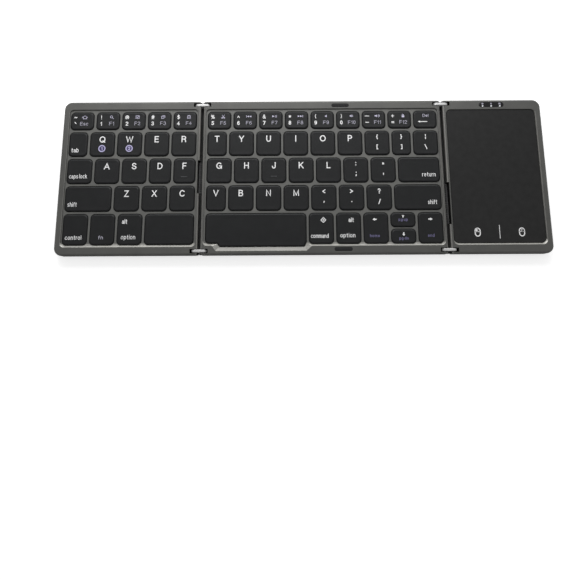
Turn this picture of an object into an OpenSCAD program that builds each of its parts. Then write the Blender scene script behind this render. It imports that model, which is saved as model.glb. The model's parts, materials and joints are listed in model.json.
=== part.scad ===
// Folding keyboard with a touchpad: three flat panels joined by two double-pin hinges.
// Millimetres. +X runs along the rows of keys, +Y points to the rear and +Z is up. The origin
// is the middle of the open keyboard's footprint, on the surface that its feet stand on.
// Inside a panel, places are given as x from the panel's left edge and y from its rear edge.

/* [Panels] */
// Depth of the three panels, from front to rear
panel_d = 98; // [97.5:0.1:98.5]
// Width of the left wing
left_w = 87.4; // [87:0.1:88]
// Width of the centre panel
centre_w = 150.9; // [150.5:0.1:151.5]
// Width of the touchpad wing
right_w = 62.6; // [62.4:0.1:63]
// Gap between two panels that lie open
panel_gap = 1.8; // [1.8:0.1:2]
// Height of the frames' top above the surface
height = 8; // [7.9:0.1:8.4]
// Radius of the outer corners, seen from above
corner_r = 4.8; // [4:0.1:5.5]
// Radius of the corners beside a gap, seen from above
gap_corner_r = 1.1; // [0.8:0.1:1.2]
// Radius of the rounded edges, seen from the side
edge_r = 1.3; // [1.2:0.05:1.35]
// Height of the joint between bottom cover and top frame
part_z = 3.2; // [3.1:0.1:3.3]
// Thickness of the bottom cover's walls
wall = 1.3; // [1.1:0.1:1.4]
// Thickness of the bottom cover's floor
floor_t = 0.9; // [0.8:0.05:1]

/* [Hinges] */
// Distance between the two pins of a link
pin_pitch = 5; // [4.9:0.1:5.1]
// Gap between the top faces of two folded panels
fold_gap = 0.3; // [0.25:0.05:0.4]
// Radius of the hinge pins
pin_r = 0.6; // [0.5:0.05:0.65]
// Radial play of a pin in the panels' ears
pin_play = 0.05; // [0.03:0.01:0.08]
// Radius of the round ends of a link
link_r = 2.2; // [2.1:0.05:2.2]
// Thickness of a link along the pins
link_t = 2; // [1.8:0.1:2]
// Distance of a link's middle from the panels' rear or front edge
link_y = 2.4; // [2.4:0.05:2.5]
// Play between a link and the sides of its pocket
link_side_play = 0.3; // [0.25:0.05:0.35]
// Radius of the round end of a link's pocket
pocket_r = 3; // [2.8:0.05:3.1]
// Width and height of the bar that joins the two links of a hinge
spine_t = 1.1; // [0.9:0.1:1.2]
// Rear end of the left cable sleeve
left_sleeve_y = 39.3; // [38:0.1:41]
// Length of the left cable sleeve
left_sleeve_len = 20.2; // [18:0.1:22]
// Rear end of the right cable sleeve
right_sleeve_y = 54.2; // [53:0.1:56]
// Length of the right cable sleeve
right_sleeve_len = 25.3; // [22:0.1:27]
// Depth of the notch that the wing has for the sleeve
sleeve_notch = 1.1; // [1:0.05:1.15]

/* [Tray] */
// Rear edge of the sunk tray
tray_y0 = 5.4; // [5.3:0.1:5.6]
// Front edge of the sunk tray's floor
tray_y1 = 92.5; // [92.4:0.1:92.6]
// Depth of the tray's floor below the frame's top
tray_depth = 0.9; // [0.8:0.05:0.95]
// Width of the sloped front wall of the tray
tray_slope = 1; // [0.8:0.1:1.1]
// Width of the frame's lip beside a gap
gap_lip = 1.5; // [1.5:0.05:1.6]
// Width of the frame's lip at the outer side of the left wing
left_lip = 3.7; // [3.5:0.05:3.75]
// Corner radius of the tray
tray_r = 2.6; // [2:0.1:3]
// Thickness of the plate of webs between the keys
web_t = 0.8; // [0.7:0.05:0.85]
// Play between the parts that sit in a frame
fit_play = 0.05; // [0.04:0.01:0.08]

/* [Keys] */
// Rear edge of the first row of keys
first_row_y = 7; // [6.9:0.05:7.1]
// Gap between two rows of keys
row_gap = 1.6; // [1.5:0.05:1.65]
// Gap between two keys of a row
key_gap = 1.7; // [1.6:0.05:1.8]
// Left edge of the left wing's keys
left_keys_x = 4.6; // [4.55:0.05:4.7]
// Right edge of the left wing's keys
left_keys_end = 84.8; // [84.6:0.1:84.9]
// Left edge of the centre panel's keys
centre_keys_x = 2.8; // [2.75:0.05:2.9]
// Right edge of the centre panel's keys
centre_keys_end = 148.5; // [148.3:0.1:148.5]
// Corner radius of a key
key_r = 2.6; // [2:0.1:3]
// Width of a key's bevelled rim
key_bevel = 0.35; // [0.2:0.05:0.5]
// Depth of a key's top below the frame's top
key_sink = 0.15; // [0.12:0.01:0.25]
// Width of the flange that keeps a key under the webs
key_flange = 0.3; // [0.2:0.05:0.35]
// Play between a key and the webs
key_play = 0.2; // [0.15:0.05:0.25]
// Depth of the space bar without its nose
bar_d = 19.6; // [19.4:0.1:19.7]
// Distance of the nose's front from the panel's rear edge
bar_nose_y = 93.8; // [93.6:0.1:93.9]
// Gap between the up key and the down key
arrow_gap = 0.8; // [0.7:0.05:0.9]

/* [Touchpad] */
// Left edge of the touchpad
pad_x = 2.2; // [2.1:0.05:2.3]
// Right edge of the touchpad
pad_end = 58.5; // [58.3:0.1:58.6]
// Rear edge of the touchpad
pad_y = 6.7; // [6.5:0.1:6.8]
// Front edge of the touchpad
pad_y_end = 91.8; // [91.6:0.1:91.9]
// Corner radius of the touchpad
pad_r = 3; // [2:0.1:4]
// Depth of the touchpad below the frame's top
pad_sink = 0.45; // [0.4:0.05:0.5]
// Play round the touchpad
pad_play = 0.3; // [0.25:0.05:0.35]
// Travel of the touchpad's front edge as it clicks
pad_click = 0.5; // [0.3:0.05:0.55]

/* [Hidden] */
$fn = 48;
eps = 0.01;
foot_h = 0.4;
body_h = height - foot_h;
floor_z = foot_h + floor_t;
total_w = left_w + centre_w + right_w + 2 * panel_gap;
left_x = -total_w / 2;
centre_x = left_x + left_w + panel_gap;
right_x = centre_x + centre_w + panel_gap;

pin_inset = (pin_pitch - panel_gap) / 2;
pin_z = height - (pin_pitch - fold_gap) / 2;
pin_end = 0.55;
pin_len = 3.6;
pocket_y0 = link_y - link_t / 2 - link_side_play;
pocket_y1 = link_y + link_t / 2 + link_side_play;
pin_hole_y0 = pin_end - 0.1;
pin_hole_y1 = pin_end + pin_len + 0.4;
left_pins = [centre_x + pin_inset, centre_x - panel_gap - pin_inset];
right_pins = [right_x - panel_gap - pin_inset, right_x + pin_inset];
spine_z = 2.6;
sleeve_z = 2.45;
sleeve_h = 1.5;
sleeve_play = 0.15;

web_top = height - tray_depth;
web_z = web_top - web_t;
plate_t = 0.5;
membrane_t = 0.25;
membrane_z = part_z + plate_t;
dome_z = membrane_z + membrane_t;
key_z = 6;
key_top = height - key_sink;
flange_h = web_z - key_z - 0.05;
skirt_t = 0.4;
under_lip = 0.5;

row_depths = [11.6, 15.8, 15.9, 15.9, 19.1];
left_rows = [[0, 0, 0, 0, 0], [11.5, 0, 0, 0, 0], [15.4, 15.4, 15.4, 0, 0], [28.6, 0, 0, 0],
    [15, 15, 15, 0]];
centre_rows = [[0, 0, 0, 0, 0, 0, 0, 0, 0], [12.1, 0, 0, 0, 0, 0, 0, 11.8, 15.5],
    [0, 0, 0, 0, 0, 0, 0, 25.8], [12.1, 0, 0, 0, 0, 0, 0, 28.9], [61.9, 0, 0, 0, 0, 0]];
arrow_key = 4;

bar_tray = [4.4, 8.4, 65.4, 68.4];
bar_tray_y1 = 94.3;
bar_slope = 1.7;
bar_nose_root = [7.8, 64.4];
bar_nose_front = [9.4, 63.2];
bar_nose_slant_y = 92;
bar_nose_root_y = 90;

pad_w = pad_end - pad_x;
pad_d = pad_y_end - pad_y;
pad_surface_t = 0.8;
pad_top = height - pad_sink;
pad_board_z = 5.9;
ledge_y1 = 8.2;
ledge_h = 1.6;
right_lip = [pad_x - pad_play, pad_end + pad_play];

foot_r = 3.5;
foot_sink = 0.3;
foot_inset = 13;
screw_r = 0.7;
screw_head_r = 1.3;
screw_head_t = 0.5;
screw_top = 5.6;
screw_y = 2.75;
left_screws_at = [[10, screw_y], [77, screw_y], [10, panel_d - screw_y], [77, panel_d - screw_y]];
centre_screws_at = [[10, screw_y], [60, screw_y], [140.9, screw_y],
    [73, panel_d - screw_y], [140.9, panel_d - screw_y]];
right_screws_at = [[10, screw_y], [54, screw_y], [10, panel_d - screw_y], [54, panel_d - screw_y]];

bumper_x = 81.7;
bumper_w = 11;
bumper_d = 2.3;
bumper_y = 2.05;
bumper_sink = 0.7;
bumper_proud = 0.1;
magnet_len = 7;
magnet_t = 2;
magnet_z = part_z + 0.2;
magnet_h = 3;
magnet_play = 0.1;
centre_magnets_x = bumper_x + bumper_w / 2 - magnet_len / 2;
left_magnets_x = 13;
right_magnets_x = right_w - 13 - magnet_len;

window_x = 23.3;
window_y = 1.6;
window_w = 15.8;
window_d = 3.3;
window_t = 0.9;
led_pitch = 5.45;
led_w = 1.2;
led_d = 0.8;
led_h = 0.6;
led_y = 3.6;

port_w = 9;
port_h = 3.2;
port_len = 7.3;
port_wall = 0.3;
port_y = 13;
port_z = 2.4;
port_tongue_w = 6.7;
port_tongue_h = 0.7;
port_tongue_len = 4.6;

frame_colour = [0.36, 0.36, 0.35];
cover_colour = [0.3, 0.3, 0.3];
web_colour = [0.42, 0.42, 0.41];
key_colour = [0.17, 0.18, 0.18];
pad_colour = [0.24, 0.24, 0.24];
steel_colour = [0.72, 0.73, 0.75];
silver_colour = [0.86, 0.87, 0.88];
rubber_colour = [0.1, 0.1, 0.1];
board_colour = [0.1, 0.35, 0.22];
film_colour = [0.75, 0.72, 0.6];

// ---- rules for the rows of keys ----

function sum(v, i = 0) = i < len(v) ? v[i] + sum(v, i + 1) : 0;

// Widths of a row's keys: each 0 in the row stands for an equal share of the width left over
function key_widths(row, total) =
    let (shares = len([for (w = row) if (w == 0) w]))
    let (share = (total - sum(row) - key_gap * (len(row) - 1)) / max(shares, 1))
    [for (w = row) w == 0 ? share : w];

// Left edges of a row's keys
function key_lefts(widths, x0) =
    [for (i = 0, x = x0; i < len(widths); x = x + widths[i] + key_gap, i = i + 1) x];

function row_y(row) =
    first_row_y + (row == 0 ? 0 : sum([for (i = [0 : row - 1]) row_depths[i] + row_gap]));

// Each key of a row as [left, rear, width, depth], its place within the panel
function row_keys(rows, row, x0, x1) =
    let (widths = key_widths(rows[row], x1 - x0))
    let (lefts = key_lefts(widths, x0))
    [for (i = [0 : len(widths) - 1]) [lefts[i], row_y(row), widths[i], row_depths[row]]];

function left_keys(row) = row_keys(left_rows, row, left_keys_x, left_keys_end);
function centre_keys(row) = row_keys(centre_rows, row, centre_keys_x, centre_keys_end);
function with_depth(key, d) = [key[0], key[1], key[2], d];
function pick(keys, first, last) = [for (i = [first : last]) keys[i]];

arrow_d = (row_depths[4] - arrow_gap) / 2;
arrow_place = centre_keys(4)[arrow_key];
up_place = with_depth(arrow_place, arrow_d);
down_place = [arrow_place[0], arrow_place[1] + arrow_d + arrow_gap, arrow_place[2], arrow_d];
bar_place = with_depth(centre_keys(4)[0], bar_d);
left_all_keys = [for (row = [0 : 4], key = left_keys(row)) key];
centre_all_keys = concat([for (row = [0 : 3], key = centre_keys(row)) key],
    pick(centre_keys(4), 1, 5));

// ---- shared shapes ----

module rounded_rect(w, d, r) {
    translate([r, 0]) square([w - 2 * r, d]);
    translate([0, r]) square([w, d - 2 * r]);
    for (cx = [r, w - r], cy = [r, d - r]) translate([cx, cy]) circle(r);
}

// Places a flat outline whose rear-left corner is at x, y of a panel
module at_place(panel_x, x, y, d, z) {
    translate([panel_x + x, panel_d / 2 - y - d, z]) children();
}

// A flat rounded block, given by its rear-left corner in a panel
module block(panel_x, x, y, w, d, z, h, r) {
    at_place(panel_x, x, y, d, z) linear_extrude(h) rounded_rect(w, d, r);
}

// A sharp-edged block, given by its rear-left corner in a panel
module box_at(panel_x, x, y, w, d, z, h) {
    at_place(panel_x, x, y, d, z) cube([w, d, h]);
}

// Outline of a panel from above, with one radius for its left corners and one for its right
module panel_outline(w, r_left, r_right) {
    translate([r_left, 0]) square([w - r_left - r_right, panel_d]);
    translate([0, r_left]) square([w / 2, panel_d - 2 * r_left]);
    translate([w / 2, r_right]) square([w / 2, panel_d - 2 * r_right]);
    for (cy = [r_left, panel_d - r_left]) translate([r_left, cy]) circle(r_left);
    for (cy = [r_right, panel_d - r_right]) translate([w - r_right, cy]) circle(r_right);
}

// A whole panel with all its edges rounded, from the feet's recesses to the frame's top
module panel_solid(panel_x, w, r_left, r_right) {
    translate([panel_x, -panel_d / 2, 0]) intersection() {
        translate([0, 0, foot_h]) linear_extrude(body_h) panel_outline(w, r_left, r_right);
        translate([0, panel_d, foot_h]) rotate([90, 0, 0])
            linear_extrude(panel_d) rounded_rect(w, body_h, edge_r);
        translate([0, 0, foot_h]) rotate([90, 0, 90])
            linear_extrude(w) rounded_rect(panel_d, body_h, edge_r);
    }
}

module lower_half() {
    intersection() {
        children();
        translate([-total_w, -panel_d, -eps]) cube([2 * total_w, 2 * panel_d, part_z + eps]);
    }
}

module upper_half() {
    intersection() {
        children();
        translate([-total_w, -panel_d, part_z]) cube([2 * total_w, 2 * panel_d, height]);
    }
}

// Runs its children at the rear edge and, mirrored, at the front edge
module both_ends() {
    children();
    mirror([0, 1, 0]) children();
}

// A round bar along Y, from y0 to y1 behind the panel's rear edge
module bar_along_y(x, z, y0, y1, r) {
    translate([x, panel_d / 2 - y0, z]) rotate([90, 0, 0]) cylinder(h = y1 - y0, r = r);
}

// Pockets and pin holes for the two links at one side of a panel; side is 1 where the panel
// lies to the right of its gap, and -1 where it lies to the left
module hinge_cuts(pin_x, side) {
    both_ends() {
        bar_along_y(pin_x, pin_z, pocket_y0, pocket_y1, pocket_r);
        translate([pin_x - pocket_r, panel_d / 2 - pocket_y1, pin_z])
            cube([2 * pocket_r, pocket_y1 - pocket_y0, height]);
        translate([pin_x - (side + 1) / 2 * 2 * pocket_r, panel_d / 2 - pocket_y1,
            pin_z - pocket_r])
            cube([2 * pocket_r, pocket_y1 - pocket_y0, height]);
        bar_along_y(pin_x, pin_z, pin_hole_y0, pin_hole_y1, pin_r + pin_play);
    }
}

// The tray's outline. grow_y widens it to the rear and the front.
module tray_outline(x0, x1, grow_x, grow_y) {
    translate([x0 - grow_x, panel_d - tray_y1 - grow_y])
        rounded_rect(x1 - x0 + 2 * grow_x, tray_y1 - tray_y0 + 2 * grow_y, tray_r);
}

// The centre panel's tray has a bay at the front for the space bar
module bay_outline(grow_x, grow_y) {
    translate([0, panel_d]) polygon([
        [bar_tray[0] - grow_x, -tray_y1 + 3], [bar_tray[0] - grow_x, -tray_y1 - grow_y],
        [bar_tray[1] - grow_x, -bar_tray_y1 - grow_y],
        [bar_tray[2] + grow_x, -bar_tray_y1 - grow_y],
        [bar_tray[3] + grow_x, -tray_y1 - grow_y], [bar_tray[3] + grow_x, -tray_y1 + 3]]);
}

// The tray as a solid; bay adds the space bar's bay
module tray(panel_x, x0, x1, z, h, grow_x, grow_y, bay = false) {
    translate([panel_x, -panel_d / 2, z]) linear_extrude(h) {
        tray_outline(x0, x1, grow_x, grow_y);
        if (bay) bay_outline(grow_x, grow_y);
    }
}

// A wedge that slopes the tray's front wall, from x0 to x1 of a panel
module slope_cut(panel_x, x0, x1, y, w) {
    translate([panel_x + x0, panel_d / 2 - y, web_top]) rotate([90, 0, 90])
        linear_extrude(x1 - x0)
        polygon([[eps, 0], [0, 0], [-w, tray_depth], [-w, 2], [eps, 2]]);
}

// A top frame: the panel's upper half with the tray cut through it
module top_frame(panel_x, w, r_left, r_right, x0, x1, bay = false) {
    difference() {
        upper_half() panel_solid(panel_x, w, r_left, r_right);
        tray(panel_x, x0, x1, web_top, height, 0, 0, bay);
        tray(panel_x, x0, x1, 0, web_top, 0, under_lip, bay);
        children();
    }
}

// A bottom cover: the panel's lower half, hollowed, with ribs for the key plate. corners
// lists the sides, 1 for left and -1 for right, that have solid corner blocks for a hinge.
module bottom_cover(panel_x, w, r_left, r_right, ribs, sides, screws) {
    block_w = 7;
    block_d = 4.4;
    difference() {
        lower_half() panel_solid(panel_x, w, r_left, r_right);
        difference() {
            block(panel_x, wall, wall, w - 2 * wall, panel_d - 2 * wall, floor_z, height, 1);
            for (x = ribs) box_at(panel_x, x, 0, 1, panel_d, 0, height);
            for (side = sides) both_ends() box_at(panel_x,
                side > 0 ? 0 : w - block_w, 0, block_w, block_d, 0, height);
            for (at = screws) translate([panel_x + at[0], panel_d / 2 - at[1], 0])
                cylinder(h = height, r = screw_head_r + 0.8);
        }
        feet_places(panel_x, w) cylinder(h = foot_h + foot_sink, r = foot_r + fit_play);
        for (at = screws) translate([panel_x + at[0], panel_d / 2 - at[1], 0]) {
            cylinder(h = foot_h + screw_head_t + 0.1, r = screw_head_r + 0.1);
            cylinder(h = height, r = screw_r + 0.1);
        }
        children();
    }
}

module feet_places(panel_x, w) {
    for (x = [foot_inset, w - foot_inset], y = [foot_inset, panel_d - foot_inset])
        translate([panel_x + x, panel_d / 2 - y, 0]) children();
}

module feet(panel_x, w) {
    feet_places(panel_x, w) {
        cylinder(h = foot_h + foot_sink, r = foot_r - 0.3);
        translate([0, 0, 0.15]) cylinder(h = foot_h + foot_sink - 0.15, r = foot_r);
    }
}

module screws(panel_x, places) {
    for (at = places) translate([panel_x + at[0], panel_d / 2 - at[1], foot_h + 0.1])
        difference() {
            union() {
                cylinder(h = screw_head_t, r = screw_head_r);
                cylinder(h = screw_top - foot_h - 0.1, r = screw_r);
            }
            translate([-0.9, -0.15, -1]) cube([1.8, 0.3, 1.3]);
            translate([-0.15, -0.9, -1]) cube([0.3, 1.8, 1.3]);
        }
}

module screw_holes(panel_x, places) {
    for (at = places) translate([panel_x + at[0], panel_d / 2 - at[1], 0])
        cylinder(h = screw_top + 0.2, r = screw_r);
}

module magnets(panel_x, x) {
    both_ends() box_at(panel_x, x, screw_y - magnet_t / 2, magnet_len, magnet_t,
        magnet_z, magnet_h);
}

module magnet_pockets(panel_x, x) {
    both_ends() box_at(panel_x, x - magnet_play, screw_y - magnet_t / 2 - magnet_play,
        magnet_len + 2 * magnet_play, magnet_t + 2 * magnet_play, 0, magnet_z + magnet_h);
}

// The notch in a wing for the cable sleeve; side is 1 where the gap is at the wing's left
module sleeve_notch_cut(edge_x, side, y, len) {
    translate([side > 0 ? edge_x - 1 : edge_x - sleeve_notch, panel_d / 2 - y - len - 0.5,
        sleeve_z - 0.35])
        cube([sleeve_notch + 1, len + 1, height]);
}

// ---- keys ----

module key_cap(panel_x, key) {
    x = key[0];
    y = key[1];
    w = key[2];
    d = key[3];
    block(panel_x, x - key_flange, y - key_flange, w + 2 * key_flange, d + 2 * key_flange,
        key_z, flange_h, key_r + key_flange);
    block(panel_x, x, y, w, d, key_z, key_top - key_z - key_bevel, key_r);
    block(panel_x, x + key_bevel, y + key_bevel, w - 2 * key_bevel, d - 2 * key_bevel,
        key_z, key_top - key_z, key_r - key_bevel);
}

module key_caps(panel_x, keys) {
    color(key_colour) for (key = keys) key_cap(panel_x, key);
}

// The space bar's outline, grown by g: a wide key with a nose that reaches into the bay
module bar_outline(g) {
    translate([bar_place[0] - g, panel_d - bar_place[1] - bar_place[3] - g])
        rounded_rect(bar_place[2] + 2 * g, bar_place[3] + 2 * g, key_r + g);
    translate([0, panel_d]) polygon([
        [bar_nose_root[0] - g, -bar_nose_root_y], [bar_nose_root[0] - g, -bar_nose_slant_y - g],
        [bar_nose_front[0] - g, -bar_nose_y - g], [bar_nose_front[1] + g, -bar_nose_y - g],
        [bar_nose_root[1] + g, -bar_nose_root_y]]);
}

module bar_layer(g, z, h) {
    translate([centre_x, -panel_d / 2, z]) linear_extrude(h) bar_outline(g);
}

// The plate of webs that frames the keys, on a thin skirt that stands on the membrane
module key_web(panel_x, x0, x1, keys, bay = false) {
    color(web_colour) {
        difference() {
            tray(panel_x, x0, x1, web_z, web_t, -fit_play, under_lip - fit_play, bay);
            for (key = keys) block(panel_x, key[0] - key_play, key[1] - key_play,
                key[2] + 2 * key_play, key[3] + 2 * key_play, 0, height, key_r + key_play);
            if (bay) bar_layer(key_play, 0, height);
        }
        difference() {
            tray(panel_x, x0, x1, dome_z, web_z - dome_z, -fit_play, under_lip - fit_play, bay);
            tray(panel_x, x0, x1, 0, height, -fit_play - skirt_t,
                under_lip - fit_play - skirt_t, bay);
        }
    }
}

// A sheet the size of the tray's lower opening
module tray_sheet(panel_x, x0, x1, z, t, bay = false) {
    tray(panel_x, x0, x1, z, t, -fit_play, under_lip - fit_play, bay);
}

// Rubber domes, one below each key, that touch the key's underside
module domes(panel_x, keys) {
    for (key = keys)
        translate([panel_x + key[0] + key[2] / 2, panel_d / 2 - key[1] - key[3] / 2, dome_z]) {
            cylinder(h = 0.5, r = 3);
            cylinder(h = 1.3, r = 2.3);
            cylinder(h = key_z - dome_z, r = 1.5);
        }
}

// ---- centre panel ----

centre_tray = [gap_lip, centre_w - gap_lip];

module centre_top_frame() {
    color(frame_colour) top_frame(centre_x, centre_w, gap_corner_r, gap_corner_r,
        centre_tray[0], centre_tray[1], bay = true) {
        slope_cut(centre_x, centre_tray[0] + 1, bar_tray[0], tray_y1, tray_slope);
        slope_cut(centre_x, bar_tray[3], centre_tray[1] - 1, tray_y1, tray_slope);
        slope_cut(centre_x, bar_tray[1], bar_tray[2], bar_tray_y1, bar_slope);
        hinge_cuts(left_pins[0], 1);
        hinge_cuts(right_pins[0], -1);
        screw_holes(centre_x, centre_screws_at);
        magnet_pockets(centre_x, centre_magnets_x);
        both_ends() block(centre_x, bumper_x - fit_play, bumper_y - fit_play,
            bumper_w + 2 * fit_play, bumper_d + 2 * fit_play, height - bumper_sink, height,
            bumper_d / 2);
    }
}

module centre_bottom_cover() {
    color(cover_colour) bottom_cover(centre_x, centre_w, gap_corner_r, gap_corner_r,
        [20, 45, 75, 105, 130], [1, -1], centre_screws_at) {
        hinge_cuts(left_pins[0], 1);
        hinge_cuts(right_pins[0], -1);
    }
}

module centre_key_web() key_web(centre_x, centre_tray[0], centre_tray[1],
    centre_all_keys, bay = true);

module centre_key_plate() color(steel_colour)
    tray_sheet(centre_x, centre_tray[0], centre_tray[1], part_z, plate_t, bay = true);

module centre_membrane() color(film_colour)
    tray_sheet(centre_x, centre_tray[0], centre_tray[1], membrane_z, membrane_t, bay = true);

module centre_domes() color("gainsboro") domes(centre_x, concat(
    [for (row = [0 : 3], key = centre_keys(row)) key],
    [bar_place], pick(centre_keys(4), 1, 3), [up_place, down_place, centre_keys(4)[5]]));

module main_board() color(board_colour) {
    box_at(centre_x, 48, 30, 24, 34, floor_z, 0.8);
    box_at(centre_x, 54, 36, 8, 8, floor_z, 1.7);
    box_at(centre_x, 52, 50, 5, 6, floor_z, 1.5);
    box_at(centre_x, 62, 52, 6, 4, floor_z, 1.5);
}

module centre_feet() color(rubber_colour) feet(centre_x, centre_w);
module centre_screws() color(steel_colour) screws(centre_x, centre_screws_at);
module centre_magnets() color(silver_colour) magnets(centre_x, centre_magnets_x);

module bumper_pads() color(rubber_colour) both_ends()
    block(centre_x, bumper_x, bumper_y, bumper_w, bumper_d, height - bumper_sink,
        bumper_sink + bumper_proud, bumper_d / 2 - fit_play);

// ---- left wing ----

left_tray = [left_lip, left_w - gap_lip];

module left_top_frame() {
    color(frame_colour) top_frame(left_x, left_w, corner_r, gap_corner_r,
        left_tray[0], left_tray[1]) {
        slope_cut(left_x, left_tray[0] + 1, left_tray[1] - 1, tray_y1, tray_slope);
        hinge_cuts(left_pins[1], -1);
        screw_holes(left_x, left_screws_at);
        magnet_pockets(left_x, left_magnets_x);
        sleeve_notch_cut(left_x + left_w, -1, left_sleeve_y, left_sleeve_len);
    }
}

module left_bottom_cover() {
    color(cover_colour) bottom_cover(left_x, left_w, corner_r, gap_corner_r,
        [22, 44, 66], [-1], left_screws_at) {
        hinge_cuts(left_pins[1], -1);
        sleeve_notch_cut(left_x + left_w, -1, left_sleeve_y, left_sleeve_len);
    }
}

module left_key_web() key_web(left_x, left_tray[0], left_tray[1], left_all_keys);

module left_key_plate() color(steel_colour)
    tray_sheet(left_x, left_tray[0], left_tray[1], part_z, plate_t);

module left_membrane() color(film_colour)
    tray_sheet(left_x, left_tray[0], left_tray[1], membrane_z, membrane_t);

module left_domes() color("gainsboro") domes(left_x, left_all_keys);
module left_feet() color(rubber_colour) feet(left_x, left_w);
module left_screws() color(steel_colour) screws(left_x, left_screws_at);
module left_magnets() color(silver_colour) magnets(left_x, left_magnets_x);

// ---- touchpad wing ----

module right_top_frame() {
    port_cut = 0.1;
    color(frame_colour) {
        difference() {
            upper_half() panel_solid(right_x, right_w, gap_corner_r, corner_r);
            block(right_x, right_lip[0], pad_y - pad_play, pad_w + 2 * pad_play,
                pad_d + 2 * pad_play, 0, 2 * height, pad_r + pad_play);
            slope_cut(right_x, right_lip[0] + 1, right_lip[1] - 1, pad_y_end + pad_play,
                tray_slope);
            hinge_cuts(right_pins[1], 1);
            screw_holes(right_x, right_screws_at);
            magnet_pockets(right_x, right_magnets_x);
            sleeve_notch_cut(right_x, 1, right_sleeve_y, right_sleeve_len);
            block(right_x, window_x - fit_play, window_y - fit_play, window_w + 2 * fit_play,
                window_d + 2 * fit_play, height - window_t, height, window_d / 2);
            box_at(right_x, window_x + 1.5, led_y - 0.6, window_w - 3, 1.6,
                height - window_t - led_h - 0.1, height);
            port_block(port_cut);
        }
        difference() {
            box_at(right_x, right_lip[0] - 0.4, pad_y - pad_play - 0.4,
                pad_w + 2 * pad_play + 0.8, ledge_y1 - pad_y + pad_play + 0.4,
                pad_board_z - ledge_h, ledge_h);
            hinge_cuts(right_pins[1], 1);
        }
    }
}

module right_bottom_cover() {
    color(cover_colour) bottom_cover(right_x, right_w, gap_corner_r, corner_r,
        [], [1], right_screws_at) {
        hinge_cuts(right_pins[1], 1);
        sleeve_notch_cut(right_x, 1, right_sleeve_y, right_sleeve_len);
        port_block(0.1);
    }
}

module touchpad_surface() color(pad_colour)
    block(right_x, pad_x, pad_y, pad_w, pad_d, pad_top - pad_surface_t, pad_surface_t, pad_r);

module touchpad_board() color(board_colour)
    block(right_x, pad_x + 1, pad_y + 0.3, pad_w - 2, pad_d - 1.3, pad_board_z,
        pad_top - pad_surface_t - pad_board_z, 2);

module touchpad_switch() color(silver_colour) {
    switch_z = pad_board_z - pad_click - 0.15;
    box_at(right_x, 27.4, 84, 6, 6, floor_z, switch_z - 0.5 - floor_z);
    at_place(right_x, 30.4, 87, 0, floor_z) cylinder(h = switch_z - floor_z, r = 1.5);
}

module battery() color("lightsteelblue")
    block(right_x, 10, 32, 42, 34, floor_z, 2.8, 1);

module charge_board() color(board_colour) {
    box_at(right_x, 40, 10, right_w - wall - 40 - 0.2, 15.5, floor_z, 0.8);
    box_at(right_x, 43, 14, 5, 5, floor_z, 1.6);
}

// The round-sided outline of the charging port, grown by g
module port_outline(g) {
    rounded_rect(port_w + 2 * g, port_h + 2 * g, port_h / 2 + g - eps);
}

module port_block(g) {
    translate([right_x + right_w - port_len - g, panel_d / 2 - port_y - port_w - g, port_z - g])
        rotate([90, 0, 90]) linear_extrude(port_len + g + 2) port_outline(g);
}

module charging_port() color(steel_colour) {
    end_x = right_x + right_w - 0.2;
    y = panel_d / 2 - port_y - port_w;
    difference() {
        translate([end_x - port_len + 0.2, y, port_z]) rotate([90, 0, 90])
            linear_extrude(port_len - 0.2) port_outline(0);
        translate([end_x - port_len + 1, y, port_z]) rotate([90, 0, 90])
            linear_extrude(port_len) port_outline_inner();
    }
    translate([end_x - port_len + 0.9, y + (port_w - port_tongue_w) / 2,
        port_z + (port_h - port_tongue_h) / 2])
        cube([port_tongue_len, port_tongue_w, port_tongue_h]);
}

module port_outline_inner() {
    translate([port_wall, port_wall])
        rounded_rect(port_w - 2 * port_wall, port_h - 2 * port_wall,
            port_h / 2 - port_wall - eps);
}

module status_window() color([0.08, 0.08, 0.08])
    block(right_x, window_x, window_y, window_w, window_d, height - window_t,
        window_t - 0.05, window_d / 2 - fit_play);

module status_leds() color("white")
    for (i = [-1 : 1]) box_at(right_x, window_x + window_w / 2 + i * led_pitch - led_w / 2,
        led_y - led_d / 2 + 0.2, led_w, led_d, height - window_t - led_h - 0.1, led_h);

module right_feet() color(rubber_colour) feet(right_x, right_w);
module right_screws() color(steel_colour) screws(right_x, right_screws_at);
module right_magnets() color(silver_colour) magnets(right_x, right_magnets_x);

// ---- hinges ----

// The two links of a hinge, each with a hole for both of its pins
module hinge_links(pins) {
    low = min(pins[0], pins[1]);
    both_ends() difference() {
        union() {
            for (x = pins) bar_along_y(x, pin_z, link_y - link_t / 2, link_y + link_t / 2,
                link_r);
            translate([low, panel_d / 2 - link_y - link_t / 2, pin_z - link_r])
                cube([pin_pitch, link_t, 2 * link_r]);
        }
        for (x = pins) bar_along_y(x, pin_z, 0, 2 * link_y, pin_r);
    }
}

module hinge_pins(pins) {
    both_ends() for (x = pins) bar_along_y(x, pin_z, pin_end, pin_end + pin_len, pin_r);
}

// The bar in the gap that joins the rear link to the front link
module hinge_spine(pins) {
    mid = (pins[0] + pins[1]) / 2;
    y0 = link_y + link_t / 2;
    translate([mid - spine_t / 2, -panel_d / 2 + y0, spine_z])
        cube([spine_t, panel_d - 2 * y0, spine_t + 0.3]);
}

// The cable sleeve round the spine; it reaches into the wing's notch
module cable_sleeve(pins, side, y, len) {
    mid = (pins[0] + pins[1]) / 2;
    half = panel_gap / 2 - sleeve_play;
    reach = half + sleeve_notch;
    difference() {
        translate([side > 0 ? mid - half : mid - reach, panel_d / 2 - y - len, sleeve_z])
            cube([half + reach, len, sleeve_h]);
        translate([mid - spine_t / 2, -panel_d / 2, spine_z])
            cube([spine_t, panel_d, spine_t + 0.3]);
    }
}

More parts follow.
